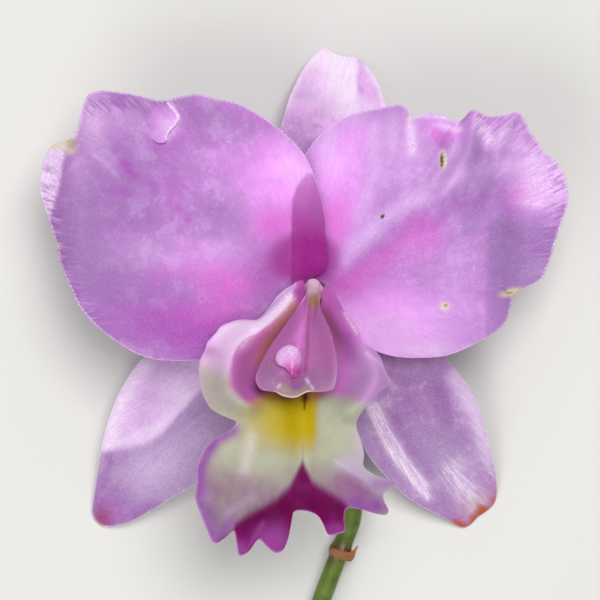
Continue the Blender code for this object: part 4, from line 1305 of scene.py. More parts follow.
def lip_dusk(x, y):
    """Greyish mauve painted shade over the lower flange, deepening over the cream towards the front."""
    marks = [
        ((-18.4, -18.6), 3.6, 3.6, 0.30),
        ((-14.6, -21.6), 3.4, 2.0, 0.18),
    ]
    start = line_y(x, [(-14.0, -30.6), (-4.0, -32.6), (2.0, -31.0), (10.0, -29.6)])
    front = smooth((start - y) / 8.0) * (0.90 - 0.65 * smooth((x - 11.5) / 3.5))
    return over(front, stain(x, y, marks))


LIP_STAINS = {
    "outside": lip_outside,
    "cream": lip_cream,
    "blush": lip_blush,
    "yellow": lip_yellow,
    "magenta": lip_magenta,
    "dusk": lip_dusk,
    "lilac": [
        ([(-13.8, -26.4), (-17.0, -28.2), (-19.2, -31.6), (-20.6, -36.0), (-21.0, -39.0)], 1.6, 0.95),
        ([(-21.0, -40.0), (-19.6, -45.0), (-17.6, -49.6)], 2.7, 0.80),
        ([(-14.0, -45.6), (-16.6, -49.0)], 1.8, 0.60),
        ((12.4, -41.2), 5.4, 1.9, 0.80, -6.0, 1.4),
        ((12.0, -38.0), 4.4, 1.8, 0.34, -30.0),
        ([(11.2, -41.6), (14.6, -42.2), (17.6, -42.8)], 2.0, 0.70),
        ([(15.6, -37.4), (19.3, -37.3)], 1.5, 0.60),
    ],
    "veil": [
        ([(9.6, -32.6), (13.0, -35.2), (16.4, -37.8)], 1.8, 0.60),
        ([(7.2, -32.6), (11.4, -35.2), (15.0, -37.8)], 0.45, 0.60),
        ([(12.6, -26.6), (12.8, -32.6)], 1.8, 0.50),
        ([(-9.6, -39.6), (-15.0, -43.6)], 0.9, 0.22),
        ([(-20.2, -38.6), (-19.6, -40.4)], 1.2, 0.50),
        ([(16.6, -36.6), (19.3, -36.4)], 0.6, 0.60),
    ],
    # Painted shade along the folds of the front lobe and in the middle groove
    "crease": [
        ([(8.4, -36.3), (11.0, -37.7), (13.0, -38.8)], 1.3, 0.40),
        ([(10.0, -37.2), (12.6, -38.6), (15.0, -39.6)], 0.35, 0.40),
        ((8.6, -38.8), 2.6, 1.8, 0.40, -20.0),
        ([(0.6, -29.4), (0.6, -33.0)], 0.22, 0.30),
    ],
    "lobe_rim": [
        ([(-1.0, 3.0), (-4.2, 0.1), (-7.6, -3.0)], 0.8, 0.80),
    ],
    "teeth": [
        ((-12.4, -51.4), 1.4, 2.0, 0.80, 0.0, 1.3),
        ((-5.6, -49.6), 3.4, 3.6, 0.85, 0.0, 1.5),
        ((7.4, -47.2), 2.4, 1.6, 0.60, 0.0, 1.3),
        ([(-7.6, -45.6), (-9.4, -48.6), (-11.0, -51.6)], 0.6, 0.50),
    ],
    "dark": [
        ((0.8, -41.6), 6.0, 1.9, 0.60),
        ([(-2.0, -42.0), (-6.0, -45.4)], 0.7, 0.40),
        ((-6.8, -44.2), 4.6, 1.6, 0.60, 24.0),
        ([(0.5, -34.0), (0.3, -40.0)], 0.35, 0.55),
        ((5.6, -41.4), 3.4, 1.4, 0.40, -16.0),
    ],
    "right_lobe": lambda x, y: smooth((x - 5.4) / 3.0) * smooth((y + 27.0) / 3.0),
    "right_edge": lambda x, y: smooth((x - 8.6 - 0.25 * (y + 12.0)) / 5.0) * smooth((y + 27.0) / 3.0),
    "orange": [
        ((-2.8, -19.3), 3.8, 1.1, 0.80, 0.0, 1.3),
        ((3.2, -19.2), 1.4, 1.3, 0.75, 0.0, 1.3),
        ([(-1.6, -1.8), (-3.2, -3.8), (-5.8, -7.8), (-7.8, -12.0)], 1.7, 0.80),
        ([(4.8, -2.8), (6.8, -5.8), (7.8, -9.2)], 0.9, 0.34),
    ],
    "red": [
        ([(1.1, -18.6), (1.0, -20.2)], 0.85, 0.95),
        ([(1.0, -20.6), (0.9, -22.2)], 0.25, 0.75),
    ],
    "glint": [
        ([(-9.8, -27.6), (-10.4, -31.0), (-11.4, -34.4)], 1.2, 0.24),
        ([(-2.2, 0.4), (-4.0, -1.6), (-6.8, -4.0), (-9.6, -5.6)], 1.1, 0.75),
        ([(-17.4, -6.8), (-13.6, -5.2), (-9.8, -5.4)], 1.2, 0.50),
        ((-12.6, -7.6), 2.6, 2.0, 0.45, 30.0),
        ([(9.4, -2.8), (11.6, -6.4)], 0.6, 0.45),
        ([(13.6, -10.8), (17.0, -13.4), (18.4, -16.4)], 0.5, 0.22),
    ],
    "throat": [
        ((0.2, 1.4), 1.8, 2.6, 0.85, 0.0, 1.8),
    ],
    "lobe_shade": [
        ((-18.6, -10.6), 1.8, 1.2, 0.50, -10.0),
        ((-17.2, -12.4), 2.4, 2.4, 0.18),
        ([(-8.2, -12.0), (-8.8, -16.6)], 0.7, 0.30),
        ([(7.9, -10.0), (8.0, -16.4)], 0.7, 0.40),
        ((-11.6, -14.4), 1.8, 4.4, 0.30),
    ],
}


# Where the colours lie on the column and the cap

COLUMN_STAINS = {
    # The right face is darkened by painted shade
    "right_face": lambda x, y: smooth((x - 1.4) / 1.4),
    "lobes": [
        ((-6.6, -15.6), 3.0, 3.6, 0.85, 0.0, 1.4),
        ((3.8, -16.4), 4.6, 2.8, 0.75, 0.0, 1.4),
        ((-1.0, -17.0), 7.0, 2.6, 0.70, 0.0, 1.4),
    ],
    "left_face": [
        ([(-1.6, -2.4), (-4.6, -7.2), (-6.6, -10.6), (-8.2, -14.0)], 1.3, 0.50),
    ],
    "foot": lambda x, y: smooth((y + 0.2) / 2.0) * spot(x, y, (2.8, 1.6), 1.15, 3.4, 0.0, 2.4),
    "olive": [((2.9, -0.2), 1.1, 1.6, 0.90, 0.0, 1.6)],
    "frill": [((-1.2, -18.3), 3.5, 1.6, 0.95, 0.0, 3.0)],
    "oval": [((-0.8, -17.2), 1.4, 1.0, 0.8, 0.0, 2.4)],
    "dot": [((-1.2, -14.4), 1.6, 1.5, 0.9, 0.0, 1.3)],
    "nub": [
        ([(1.3, -15.9), (1.7, -16.6)], 0.34, 0.60),
        ([(2.2, -17.2), (2.6, -17.8)], 0.26, 0.50),
        ([(-4.4, -17.5), (-4.0, -17.0)], 0.30, 0.50),
    ],
}
CAP_STAINS = {
    # Painted highlight on the top of the cap
    "crown": [
        ((-2.2, -9.9), 2.2, 1.3, 0.90, 0.0, 1.3),
        ((-3.9, -11.4), 1.2, 1.4, 0.70, 0.0, 1.3),
    ],
    "low": lambda x, y: smooth((-11.9 - y) / 1.6) * smooth((x + 4.2) / 1.6),
    "dot": [((-1.0, -14.6), 1.5, 1.3, 0.90, 0.0, 1.3)],
}


# Finishes

BLADE_SHARES = ("shade", "deep", "rose", "hot", "pale", "flush", "light", "pleat", "straw", "scar")
BLOTCHED_SHARES = ("shade", "deep", "rose", "hot", "pale")
PETAL_VEIN_COUNT = 130.0
SEPAL_VEIN_COUNT = 150.0
VEIN_STRENGTH = 0.10
PETAL_THREADS = 0.35
LEFT_PETAL_GRAIN = 0.08
RIGHT_PETAL_GRAIN = 0.11
SEPAL_GRAIN = 0.13
# Colour of the painted sparkle highlights
GLITTER_COLOUR = srgb(252, 240, 254)


def flesh(weight, radius, scale_mm, specular):
    """Constants of a skin that lets some light through."""
    return {
        "Subsurface Weight": weight,
        "Subsurface Radius": radius,
        "Subsurface Scale": scale_mm * MM,
        "Specular IOR Level": specular,
    }


def blade_finish(name, main, colours, vein_count, grain, threads):
    """Petal and sepal skin: colour shares, fanned veins and a fine grain of cells."""
    tree = Tree(name)
    broad = tree.noise(12.0, 3.0)
    cloud = tree.noise(2.6, 4.0, rough=0.62)
    fine = tree.noise(0.42, 3.0, rough=0.65)
    fan = tree.attribute("fan")
    out = tree.attribute("out")
    fibre = tree.fibre(fan, out, around=44.0, along=0.16)
    patch = tree.noise(5.0, 5.0, rough=0.66)
    colour = tree.mix(main, colours["shade"], broad.between(0.42, 0.78) * 0.26)
    colour = tree.mix(colour, colours["rose"], cloud.between(0.48, 0.74) * 0.26)
    colour = tree.mix(colour, colours["deep"], (0.50 - patch).between(0.02, 0.11) * 0.28)
    colour = tree.mix(colour, colours["pale"], (patch - 0.50).between(0.02, 0.11) * 0.32)
    blotch = cloud * 1.3 + fibre * 0.2 + 0.25
    colour = tree.lay(colour, colours, BLOTCHED_SHARES, BLOTCHED_SHARES, blotch)
    colour = tree.lay(colour, colours, ("flush",), ("flush",), cloud * 0.3 + 0.85)
    light = tree.attribute("light")
    thread = tree.fibre(fan, out, around=96.0, along=0.22)
    shine = light * (thread.between(0.34, 0.66) * threads + 1.0 - threads) * (blotch * 0.4 + 0.5)
    colour = tree.mix(colour, colours["light"], shine.clamped())
    grit = tree.noise(0.36, 3.0, rough=0.7)
    glitter = tree.noise(0.34, 1.0).between(0.55, 0.68)
    sway = tree.noise(9.0, 1.0) * 0.12
    near = ((fan + sway) * vein_count).sine()
    far = ((fan + sway) * (2.0 * vein_count) + 0.8).sine()
    line = (near * 0.5 + 0.5) ** 6.0 + ((far * 0.5 + 0.5) ** 6.0) * out.between(16.0, 34.0)
    line = line * cloud.between(0.3, 0.7) * out.between(4.0, 12.0)
    colour = tree.mix(colour, colours["vein"], (line * VEIN_STRENGTH).clamped())
    calm = 1.0 - tree.attribute("flush") * 0.8
    colour = tree.mix(colour, colours["vein"], (0.5 - fibre).between(0.0, 0.25) * 0.06)
    colour = tree.mix(colour, colours["light"], (fibre - 0.5).between(0.0, 0.30) * calm * 0.05)
    # Pleats: painted shade in their furrows and painted highlight on their crests
    pleat = tree.attribute("pleat")
    furrow = (0.52 - thread).between(0.0, 0.10)
    crest = (thread - 0.53).between(0.0, 0.10)
    colour = tree.mix(colour, colours["vein"], (pleat * furrow * 0.9).clamped())
    colour = tree.mix(colour, colours["light"], (pleat * crest * 0.22).clamped())
    colour = tree.mix(colour, colours["light"], (grit - 0.5).between(-0.1, 0.22) * calm * grain)
    colour = tree.mix(colour, colours["vein"], (0.5 - grit).between(-0.1, 0.22) * calm * grain * 1.2)
    # Glitter is painted sparkle highlight, laid where the light share lies
    colour = tree.mix(colour, GLITTER_COLOUR, glitter * (light * 1.3 - 0.42).clamped() * calm)
    rim = tree.attribute("edge").between(0.986, 0.997) * out.between(14.0, 24.0)
    colour = tree.mix(colour, colours["light"], rim * (glitter * 0.6 + 0.3))
    colour = tree.lay(colour, colours, ("straw",))
    scar = tree.attribute("scar")
    colour = tree.mix(colour, colours["scar"], (scar * 1.2 - fine * 0.3).clamped())
    height = (tree.cells(0.3) * 0.45 + fine * 0.45 + fibre * 0.4 + thread * light * threads
              + glitter * light - line * 0.25 - pleat * furrow * 1.6)
    normal = tree.bump(height, distance_mm=0.06, strength=0.5)
    constants = flesh(weight=0.12, radius=(1.0, 0.35, 0.8), scale_mm=1.2, specular=0.16)
    constants.update({"Sheen Weight": 0.03, "Sheen Roughness": 0.4})
    return tree.finish(colour, 0.52 - fine * 0.12 + scar * 0.2, normal, constants)


# One petal colour in two copies: the left one darkened as painted shade, the right one lighter as
# painted light
LEFT_PETAL_COLOUR = srgb(162, 113, 177)
RIGHT_PETAL_COLOUR = srgb(175, 123, 190)
# The flush colour is the deep magenta at the hub, also laid on the petals as painted shade
PETAL_COLOURS = screen(
    shade=(144, 107, 164), deep=(158, 72, 168), rose=(230, 150, 237), hot=(206, 86, 192),
    pale=(206, 166, 220), light=(242, 214, 248), flush=(142, 4, 121), vein=(150, 84, 168),
    straw=(214, 204, 160), scar=(80, 62, 34),
)

TOP_SEPAL_COLOUR = srgb(250, 194, 254)
LEFT_SEPAL_COLOUR = srgb(176, 136, 188)
RIGHT_SEPAL_COLOUR = srgb(162, 118, 175)
SEPAL_COLOURS = screen(
    shade=(160, 136, 176), deep=(138, 76, 155), rose=(226, 176, 234), hot=(200, 108, 198),
    pale=(212, 188, 222), light=(254, 240, 255), flush=(140, 40, 92), vein=(148, 96, 170),
    straw=(182, 146, 140), scar=(172, 84, 44),
)

LIP_COLOURS = screen(
    inner_deep=(168, 78, 156), inner=(184, 98, 166), lobe_deep=(168, 88, 168), lobe=(184, 104, 180),
    right_edge=(178, 132, 186), throat=(150, 54, 140), cream=(176, 177, 153),
    # The blush colour is partly painted light
    cream_dull=(159, 159, 142), blush=(228, 182, 232), lobe_rim=(176, 122, 192),
    lobe_shade=(146, 104, 140), yellow=(180, 160, 2), yellow_deep=(170, 146, 0),
    # The dusk colour is painted shade
    orange=(158, 98, 74), red=(92, 14, 18), dusk=(138, 112, 128), veil=(188, 168, 200),
    # The crease colour is painted shade
    lilac=(136, 76, 152), crease=(140, 84, 124), magenta_deep=(92, 2, 62), magenta=(118, 10, 94),
    dark=(86, 2, 56), teeth=(146, 66, 146), glint=(250, 232, 250), rim=(196, 140, 204),
    speck=(240, 232, 240),
)
LIP_SOFT_SHARES = ("lobe_shade", "orange", "dusk", "lilac", "dark")

COLUMN_COLOURS = screen(
    # The right face and furrow colours are painted shade, the back colour a painted highlight
    skin=(190, 109, 178), skin_deep=(179, 99, 166), right_face=(161, 90, 148),
    left_face=(152, 74, 116), lobes=(143, 98, 138), back=(204, 115, 194), furrow=(132, 48, 106),
    foot=(190, 156, 170), olive=(150, 116, 56), frill=(146, 124, 112), oval=(134, 78, 146),
    dot=(164, 44, 130), nub=(228, 196, 228), rim=(204, 186, 190), glint=(232, 180, 228),
)
CAP_COLOURS = screen(
    # The crown colour is a painted highlight
    skin=(204, 134, 200), crown=(228, 176, 230), low=(202, 96, 184), dot=(164, 44, 130),
    glint=(254, 240, 254),
)
STEM_COLOURS = screen(
    skin=(74, 100, 28), streak=(112, 134, 48), shade=(56, 76, 20), joint=(98, 66, 32),
    neck=(214, 156, 200), cut=(196, 202, 150), cut_ring=(140, 152, 78),
)
BRACT_COLOURS = screen(skin=(118, 78, 40), streak=(162, 112, 62), tip=(196, 104, 52))
FLOOR_COLOURS = screen(grey=(214, 213, 209), light=(220, 219, 216))


def lip_finish():
    """Lip skin: cream, yellow and magenta fields with fanned streaks and a velvet grain."""
    tree = Tree("lip_skin")
    fine = tree.noise(0.42, 3.0, rough=0.6)
    cloud = tree.noise(2.6, 3.0)
    fan = tree.attribute("fan")
    out = tree.attribute("out")
    fibre = tree.fibre(fan, out, around=34.0, along=0.22)
    soft = cloud * 0.5 + fibre * 0.4 + 0.55
    tint = LIP_COLOURS
    inner = tree.mix(tint["inner_deep"], tint["inner"], cloud)
    lobe = tree.mix(tint["lobe_deep"], tint["lobe"], cloud)
    colour = tree.mix(inner, lobe, tree.attribute("right_lobe"))
    colour = tree.lay(colour, tint, ("right_edge", "throat"))
    cream = tree.mix(tint["cream"], tint["cream_dull"], cloud)
    colour = tree.mix(colour, cream, tree.attribute("cream"))
    colour = tree.lay(colour, tint, ("blush", "lobe_rim", "lobe_shade"), LIP_SOFT_SHARES, soft)
    yellow = tree.mix(tint["yellow"], tint["yellow_deep"], cloud)
    colour = tree.mix(colour, yellow, tree.attribute("yellow"))
    colour = tree.lay(colour, tint, ("orange", "red", "dusk", "veil", "lilac", "crease"),
                      LIP_SOFT_SHARES, soft)
    magenta = tree.mix(tint["magenta_deep"], tint["magenta"], fibre.between(0.2, 0.8))
    magenta = tree.lay(magenta, tint, ("dark", "teeth"), LIP_SOFT_SHARES, soft)
    field = tree.attribute("magenta") + (fibre - 0.5) * 0.25
    colour = tree.mix(colour, magenta, field.between(0.04, 0.96))
    glitter = tree.noise(0.5, 1.0).between(0.54, 0.68)
    colour = tree.mix(colour, tint["glint"], tree.attribute("glint") * (glitter * 0.5 + 0.75))
    rim = tree.attribute("edge").between(0.975, 0.998) * out.between(6.0, 12.0)
    colour = tree.mix(colour, tint["rim"], rim * 0.5)
    speck = (fine - 0.5).between(0.08, 0.3) * (1.0 - tree.attribute("magenta"))
    colour = tree.mix(colour, tint["speck"], speck * 0.06)
    height = tree.cells(0.26) * 0.4 + fine * 0.4 + fibre * 0.25
    normal = tree.bump(height, distance_mm=0.06, strength=0.5)
    constants = flesh(weight=0.12, radius=(1.0, 0.5, 0.6), scale_mm=1.2, specular=0.06)
    return tree.finish(colour, 0.5 - fine * 0.1, normal, constants)


def column_finish():
    """Waxy pink column: olive foot, a painted highlight on its ridge, painted shade on its right face
    and in its furrow, and a greyish frill.
    """
    tree = Tree("column_skin")
    tint = COLUMN_COLOURS
    fine = tree.noise(0.4, 3.0)
    cloud = tree.noise(1.6, 3.0)
    colour = tree.mix(tint["skin"], tint["skin_deep"], cloud)
    right = tree.attribute("right_face") * (fine * 0.6 + 0.5)
    colour = tree.mix(colour, tint["right_face"], right)
    colour = tree.lay(colour, tint, ("left_face", "lobes", "back", "furrow", "foot", "olive", "frill",
                                     "oval", "dot", "nub"))
    rim = tree.attribute("edge").between(0.955, 0.985) * tree.attribute("frill")
    colour = tree.mix(colour, tint["rim"], rim * 0.9)
    glitter = tree.noise(0.42, 1.0).between(0.54, 0.68)
    colour = tree.mix(colour, tint["glint"], glitter * 0.07)
    height = tree.cells(0.25) * 0.5 + fine * 0.5
    normal = tree.bump(height, distance_mm=0.04, strength=0.5)
    constants = flesh(weight=0.15, radius=(1.0, 0.4, 0.7), scale_mm=1.5, specular=0.3)
    return tree.finish(colour, 0.42 - fine * 0.08, normal, constants)


def cap_finish():
    """Pale pink cap with a white glittering crown, which is a painted highlight, and a deeper lower
    side.
    """
    tree = Tree("cap_skin")
    tint = CAP_COLOURS
    fine = tree.noise(0.35, 3.0)
    crown = tree.attribute("crown")
    colour = tree.mix(tint["skin"], tint["crown"], crown)
    colour = tree.lay(colour, tint, ("low", "dot"))
    glitter = tree.noise(0.42, 1.0).between(0.54, 0.66)
    colour = tree.mix(colour, tint["glint"], glitter * (crown * 0.5 + 0.12))
    normal = tree.bump(tree.cells(0.22) * 0.5 + fine * 0.5, distance_mm=0.04, strength=0.45)
    constants = flesh(weight=0.15, radius=(1.0, 0.5, 0.8), scale_mm=1.2, specular=0.5)
    return tree.finish(colour, 0.4 - fine * 0.08, normal, constants)


def stem_finish():
    """Green stalk with lengthwise streaks, brown at its joint and pale on the cut end."""
    tree = Tree("stem_skin")
    tint = STEM_COLOURS
    streak = tree.noise(0.5, 3.0, stretch=(1.0, 0.06, 1.0))
    cloud = tree.noise(3.5, 3.0)
    fine = tree.noise(0.3, 3.0)
    colour = tree.mix(tint["skin"], tint["streak"], streak)
    colour = tree.mix(colour, tint["shade"], cloud.between(0.4, 0.7) * 0.6)
    colour = tree.lay(colour, tint, ("joint", "neck", "cut", "cut_ring"), ("joint",), fine * 0.6 + 0.6)
    normal = tree.bump(streak * 0.7 + fine * 0.3, distance_mm=0.05, strength=0.5)
    constants = flesh(weight=0.05, radius=(1.0, 0.2, 0.1), scale_mm=0.8, specular=0.5)
    return tree.finish(colour, 0.42 - streak * 0.1, normal, constants)


def bract_finish():
    """Dry papery sheath, orange brown at its tip."""
    tree = Tree("bract_skin")
    streak = tree.noise(0.3, 3.0, stretch=(1.0, 0.1, 1.0))
    colour = tree.mix(BRACT_COLOURS["skin"], BRACT_COLOURS["streak"], streak)
    colour = tree.lay(colour, BRACT_COLOURS, ("tip",))
    normal = tree.bump(streak, distance_mm=0.05, strength=0.6)
    return tree.finish(colour, 0.6 + streak * 0.15, normal)


def floor_finish():
    """Plain light grey table with a faint unevenness."""
    tree = Tree("floor_finish")
    cloud = tree.noise(90.0, 2.0)
    colour = tree.mix(FLOOR_COLOURS["grey"], FLOOR_COLOURS["light"], cloud)
    normal = tree.bump(tree.noise(1.4, 2.0), distance_mm=0.02, strength=0.2)
    return tree.finish(colour, 0.85 - cloud * 0.05, normal)


# Pieces

def ear_stains():
    """The ear keeps the colours of the petal under its hinge and is rosy at its free end."""
    def free(x, y):
        return smooth(reach(x, y, EAR_HINGE) / 3.4)

    def kept(key):
        marks = LEFT_PETAL_STAINS[key]
        return lambda x, y: (1.0 - free(x, y)) * stain(x, y, marks)

    stains = {key: kept(key) for key in LEFT_PETAL_STAINS}
    stains["edge"] = lambda x, y: 0.0 * x
    stains["rose"] = lambda x, y: 0.55 * free(x, y)
    stains["hot"] = lambda x, y: 0.30 * spot(x, y, (-31.0, 36.6), 1.6, 3.4, 0.0, 1.2) * free(x, y)
    stains["pale"] = [
        ((-28.4, 37.4), 2.6, 2.2, 0.50, -20.0),
        ((-29.4, 34.4), 2.4, 1.2, 0.35),
    ]
    stains["light"] = [
        ([(-27.6, 41.2), (-25.9, 39.3), (-25.3, 38.4)], 0.36, 0.95),
        ([(-25.3, 38.5), (-25.3, 37.8)], 0.45, 0.90),
        ([(-25.5, 37.3), (-27.4, 34.9), (-27.8, 33.8)], 0.50, 0.75),
        ((-27.2, 36.6), 1.4, 2.4, 0.35, -24.0),
    ]
    return stains


def build_ear(skin):
    add_blade("left_petal_ear", "left_petal", EAR_CENTRE, EAR_MARGIN, ear_height,
              skin, ear_stains(), EAR_RINGS, EAR_PARTS, EAR_THICKNESS)


def build_column():
    flat, ring, _, sectors = lay_grid(COLUMN_CENTRE, COLUMN_MARGIN, COLUMN_RINGS, COLUMN_PARTS)
    x, y = flat.T
    furrow = ridge(x, y, COLUMN_FURROW, 0.55, 1.0)
    back = ridge(x, y, COLUMN_CREST, 1.1, 1.0)
    high = column_height(x, y) - COLUMN_FURROW_DEPTH * furrow + COLUMN_CREST_HEIGHT * back
    low = column_floor(y)
    edge = smooth((ring - 0.45) / 0.55)
    middle = 0.5 * (high + low)
    high = high - edge * (high - middle - 0.5 * COLUMN_EDGE_THICKNESS)
    low = low + edge * (middle - low - 0.5 * COLUMN_EDGE_THICKNESS)
    foot = smooth((y + 1.5) / 3.0)
    low = low * (1.0 - foot) + column_floor(y) * foot
    clear = lip_height(x, y) + COLUMN_CLEARANCE
    low = np.where(from_hub(x, y) > FOOT_REACH, np.maximum(low, clear), low)
    high = np.maximum(high, low + COLUMN_EDGE_THICKNESS)
    values = {key: stain(x, y, marks) for key, marks in COLUMN_STAINS.items()}
    # The furrow's share paints shade in the groove, the back's share a painted highlight on the lit
    # ridge
    values.update({"edge": ring, "furrow": furrow * 0.60, "back": back * 0.85})
    add_sheet("column_fine", "column", np.column_stack([x, y, high]),
              np.column_stack([x, y, low]), COLUMN_RINGS, sectors, column_finish(), values)


def build_cap():
    flat, ring, _, sectors = lay_grid(CAP_CENTRE, CAP_MARGIN, CAP_RINGS, CAP_PARTS)
    x, y = flat.T
    low = column_height(x, y) + CAP_GAP
    bulge = np.sqrt(np.clip(1.0 - (0.98 * ring) ** 2, 0.0, 1.0))
    high = low + CAP_WALL + (CAP_HEIGHT - CAP_SINK) * bulge
    values = {key: stain(x, y, marks) for key, marks in CAP_STAINS.items()}
    add_sheet("anther_cap_fine", "anther_cap", np.column_stack([x, y, high]),
              np.column_stack([x, y, low]), CAP_RINGS, sectors, cap_finish(), values)


def stem_sections():
    """Centres and radii of the rings, from the top of the knob to the middle of the cut end."""
    path = path_curve(STEM_PATH, STEM_STEPS)
    centres = [np.array([HUB_X, HUB_Y, height - RING_NUDGE * i])
               for i, (height, _) in enumerate(KNOB_PROFILE)]
    radii = [radius for _, radius in KNOB_PROFILE]
    runs = np.concatenate([[0.0], np.cumsum(np.linalg.norm(np.diff(path, axis=0), axis=1))])
    for place, run in zip(path, runs):
        grown = float(smooth(run / STEM_NECK_LENGTH))
        past = place[1] - STEM_JOINT_Y
        swell = STEM_JOINT_SWELL * math.exp(-(past / STEM_JOINT_LENGTH) ** 2)
        pinch = STEM_PINCH * math.exp(-((past + STEM_PINCH_OFFSET) / STEM_PINCH_LENGTH) ** 2)
        centres.append(place)
        radii.append(STEM_NECK_RADIUS + (STEM_RADIUS - STEM_NECK_RADIUS) * grown + swell - pinch)
    for share in STEM_END_SHARES:
        centres.append(path[-1] + np.array([0.0, RING_NUDGE * (1.0 - share), 0.0]))
        radii.append(STEM_RADIUS * share)
    return np.array(centres), radii


def build_stem(sides):
    centres, radii = stem_sections()
    count = len(centres)
    wall_end = count - len(STEM_END_SHARES)
    points = []
    side = np.array([1.0, 0.0, 0.0])
    for i, centre in enumerate(centres):
        run = centres[min(i + 1, wall_end - 1)] - centres[max(min(i, wall_end - 1) - 1, 0)]
        run = run / np.linalg.norm(run)
        side = side - run * np.dot(side, run)
        side = side / np.linalg.norm(side)
        other = np.cross(run, side)
        for j in range(sides):
            turn = 2.0 * math.pi * j / sides
            rib = 1.0 - STEM_RIB_DEPTH * (1.0 + math.cos(STEM_RIBS * turn))
            out = radii[i] * (rib if len(KNOB_PROFILE) < i < wall_end else 1.0)
            points.append(centre + out * (math.cos(turn) * side + math.sin(turn) * other))
    points = np.array(points)
    points[:, 1] = np.maximum(points[:, 1], STEM_END_Y)
    j = np.arange(sides)
    after = (j + 1) % sides
    faces = []
    for i in range(count - 1):
        low = i * sides
        high = low + sides
        faces.append(np.column_stack([low + j, low + after, high + after]))
        faces.append(np.column_stack([low + j, high + after, high + j]))
    rows = np.repeat(np.arange(count), sides)
    values = {
        "joint": np.exp(-((points[:, 1] - STEM_JOINT_Y) / 2.0) ** 2),
        "neck": smooth((points[:, 2] - 19.0) / 4.0),
        "cut": (rows >= wall_end).astype(float),
        "cut_ring": (rows == wall_end + 1).astype(float),
    }
    add_piece("stem_fine", "stem", points, np.vstack(faces), stem_finish(), values)


def bract_places(along, across, out):
    """Places on the sheath: out is the height over the skin of the stem."""
    above, below = STEM_PATH[7:9]
    lean = math.atan2(above[0] - below[0], above[1] - below[1])
    turn = math.radians(BRACT_MIDDLE_DEGREES) + across / BRACT_BEND_RADIUS
    skin = STEM_RADIUS + STEM_JOINT_SWELL * np.exp(-(along / STEM_JOINT_LENGTH) ** 2)
    flare = BRACT_FLARE * np.clip(along, 0.0, None) ** 1.5
    away = skin + BRACT_CLEARANCE + flare + out
    side = away * np.sin(turn)
    return np.column_stack([
        STEM_JOINT_X + along * math.sin(lean) + side * math.cos(lean),
        STEM_JOINT_Y + along * math.cos(lean) - side * math.sin(lean),
        STEM_JOINT_Z + away * np.cos(turn),
    ])


def build_bract():
    flat, ring, _, sectors = lay_grid(BRACT_CENTRE, BRACT_MARGIN, BRACT_RINGS, BRACT_PARTS)
    across, along = flat.T
    ribs = BRACT_RIB_HEIGHT * np.sin(BRACT_RIB_COUNT * across)
    top = bract_places(along, across, 0.45 - 0.2 * ring ** 8 + ribs)
    bottom = bract_places(along, across, 0.05)
    add_sheet("bract_fine", "bract", top, bottom, BRACT_RINGS, sectors,
              bract_finish(), {"tip": smooth((along + 0.4) / 2.0)})


# Settings

def length_setting(name, description, default):
    return FloatProperty(name=name, description=description, default=default, unit="LENGTH",
                         subtype="DISTANCE")


def power_setting(name, description, default):
    return FloatProperty(name=name, description=description, default=default, unit="POWER")


def colour_setting(name, description, default):
    return FloatVectorProperty(name=name, description=description, size=3, default=default,
                               subtype="COLOR")


class PetalSettings(PropertyGroup):
    """Sizes and colours of the two petals."""
    thickness: length_setting("Thickness", "Thickness of a petal", 0.5 * MM)
    wave: length_setting("Wave", "Height of the slow waves of the margin", 0.45 * MM)
    teeth: length_setting("Teeth", "Depth of the fine teeth of the margin", 0.42 * MM)
    # The left and right main colours are a shaded and a lit copy of one petal colour
    left_colour: colour_setting("Left colour", "Main colour of the left petal", LEFT_PETAL_COLOUR)
    right_colour: colour_setting("Right colour", "Main colour of the right petal",
                                 RIGHT_PETAL_COLOUR)
    # The flush colour also serves as painted shade near the hub
    flush: colour_setting("Flush", "Deep colour near the hub", PETAL_COLOURS["flush"])


class SepalSettings(PropertyGroup):
    """Sizes and colours of the three sepals."""
    thickness: length_setting("Thickness", "Thickness of a sepal", 0.68 * MM)
    top_colour: colour_setting("Top colour", "Main colour of the top sepal", TOP_SEPAL_COLOUR)
    left_colour: colour_setting("Left colour", "Main colour of the left sepal", LEFT_SEPAL_COLOUR)
    right_colour: colour_setting("Right colour", "Main colour of the right sepal",
                                 RIGHT_SEPAL_COLOUR)


class LipSettings(PropertyGroup):
    """Sizes of the lip."""
    thickness: length_setting("Thickness", "Thickness of the lip", 0.5 * MM)


class StageSettings(PropertyGroup):
    """Camera, light and floor."""
    distance: length_setting("Camera height", "Height of the camera over the table", 0.425)
    view_width: length_setting("View width", "Width seen at the height of the petals", 0.126)
    key_power: power_setting("Key light", "Power of the key light", 4.2)
    fill_power: power_setting("Fill light", "Power of the fill light", 2.4)


# Operators

class BLOOM_OT_petals(Operator):
    """Build the two petals"""
    bl_idname = "bloom.petals"
    bl_label = "Petals"

    def execute(self, context):
        sizes = context.scene.bloom_petals
        colours = dict(PETAL_COLOURS)
        colours["flush"] = tuple(sizes.flush)
        for side, main, centre, keys, height, stains, parts, grain in (
            ("left", sizes.left_colour, LEFT_PETAL_CENTRE, LEFT_PETAL_MARGIN, left_petal_height,
             LEFT_PETAL_STAINS, LEFT_PETAL_PARTS, LEFT_PETAL_GRAIN),
            ("right", sizes.right_colour, RIGHT_PETAL_CENTRE, RIGHT_PETAL_MARGIN,
             right_petal_height, RIGHT_PETAL_STAINS, RIGHT_PETAL_PARTS, RIGHT_PETAL_GRAIN),
        ):
            skin = blade_finish(side + "_petal_skin", tuple(main), colours, PETAL_VEIN_COUNT, grain,
                                PETAL_THREADS)
            add_blade(side + "_petal_fine", side + "_petal", centre, keys, height,
                      skin, stains, PETAL_RINGS, parts, sizes.thickness / MM, BLADE_TAPER,
                      sizes.wave / MM, sizes.teeth / MM, PETAL_TOOTH_LENGTH)
            if side == "left":
                build_ear(skin)
        return {"FINISHED"}


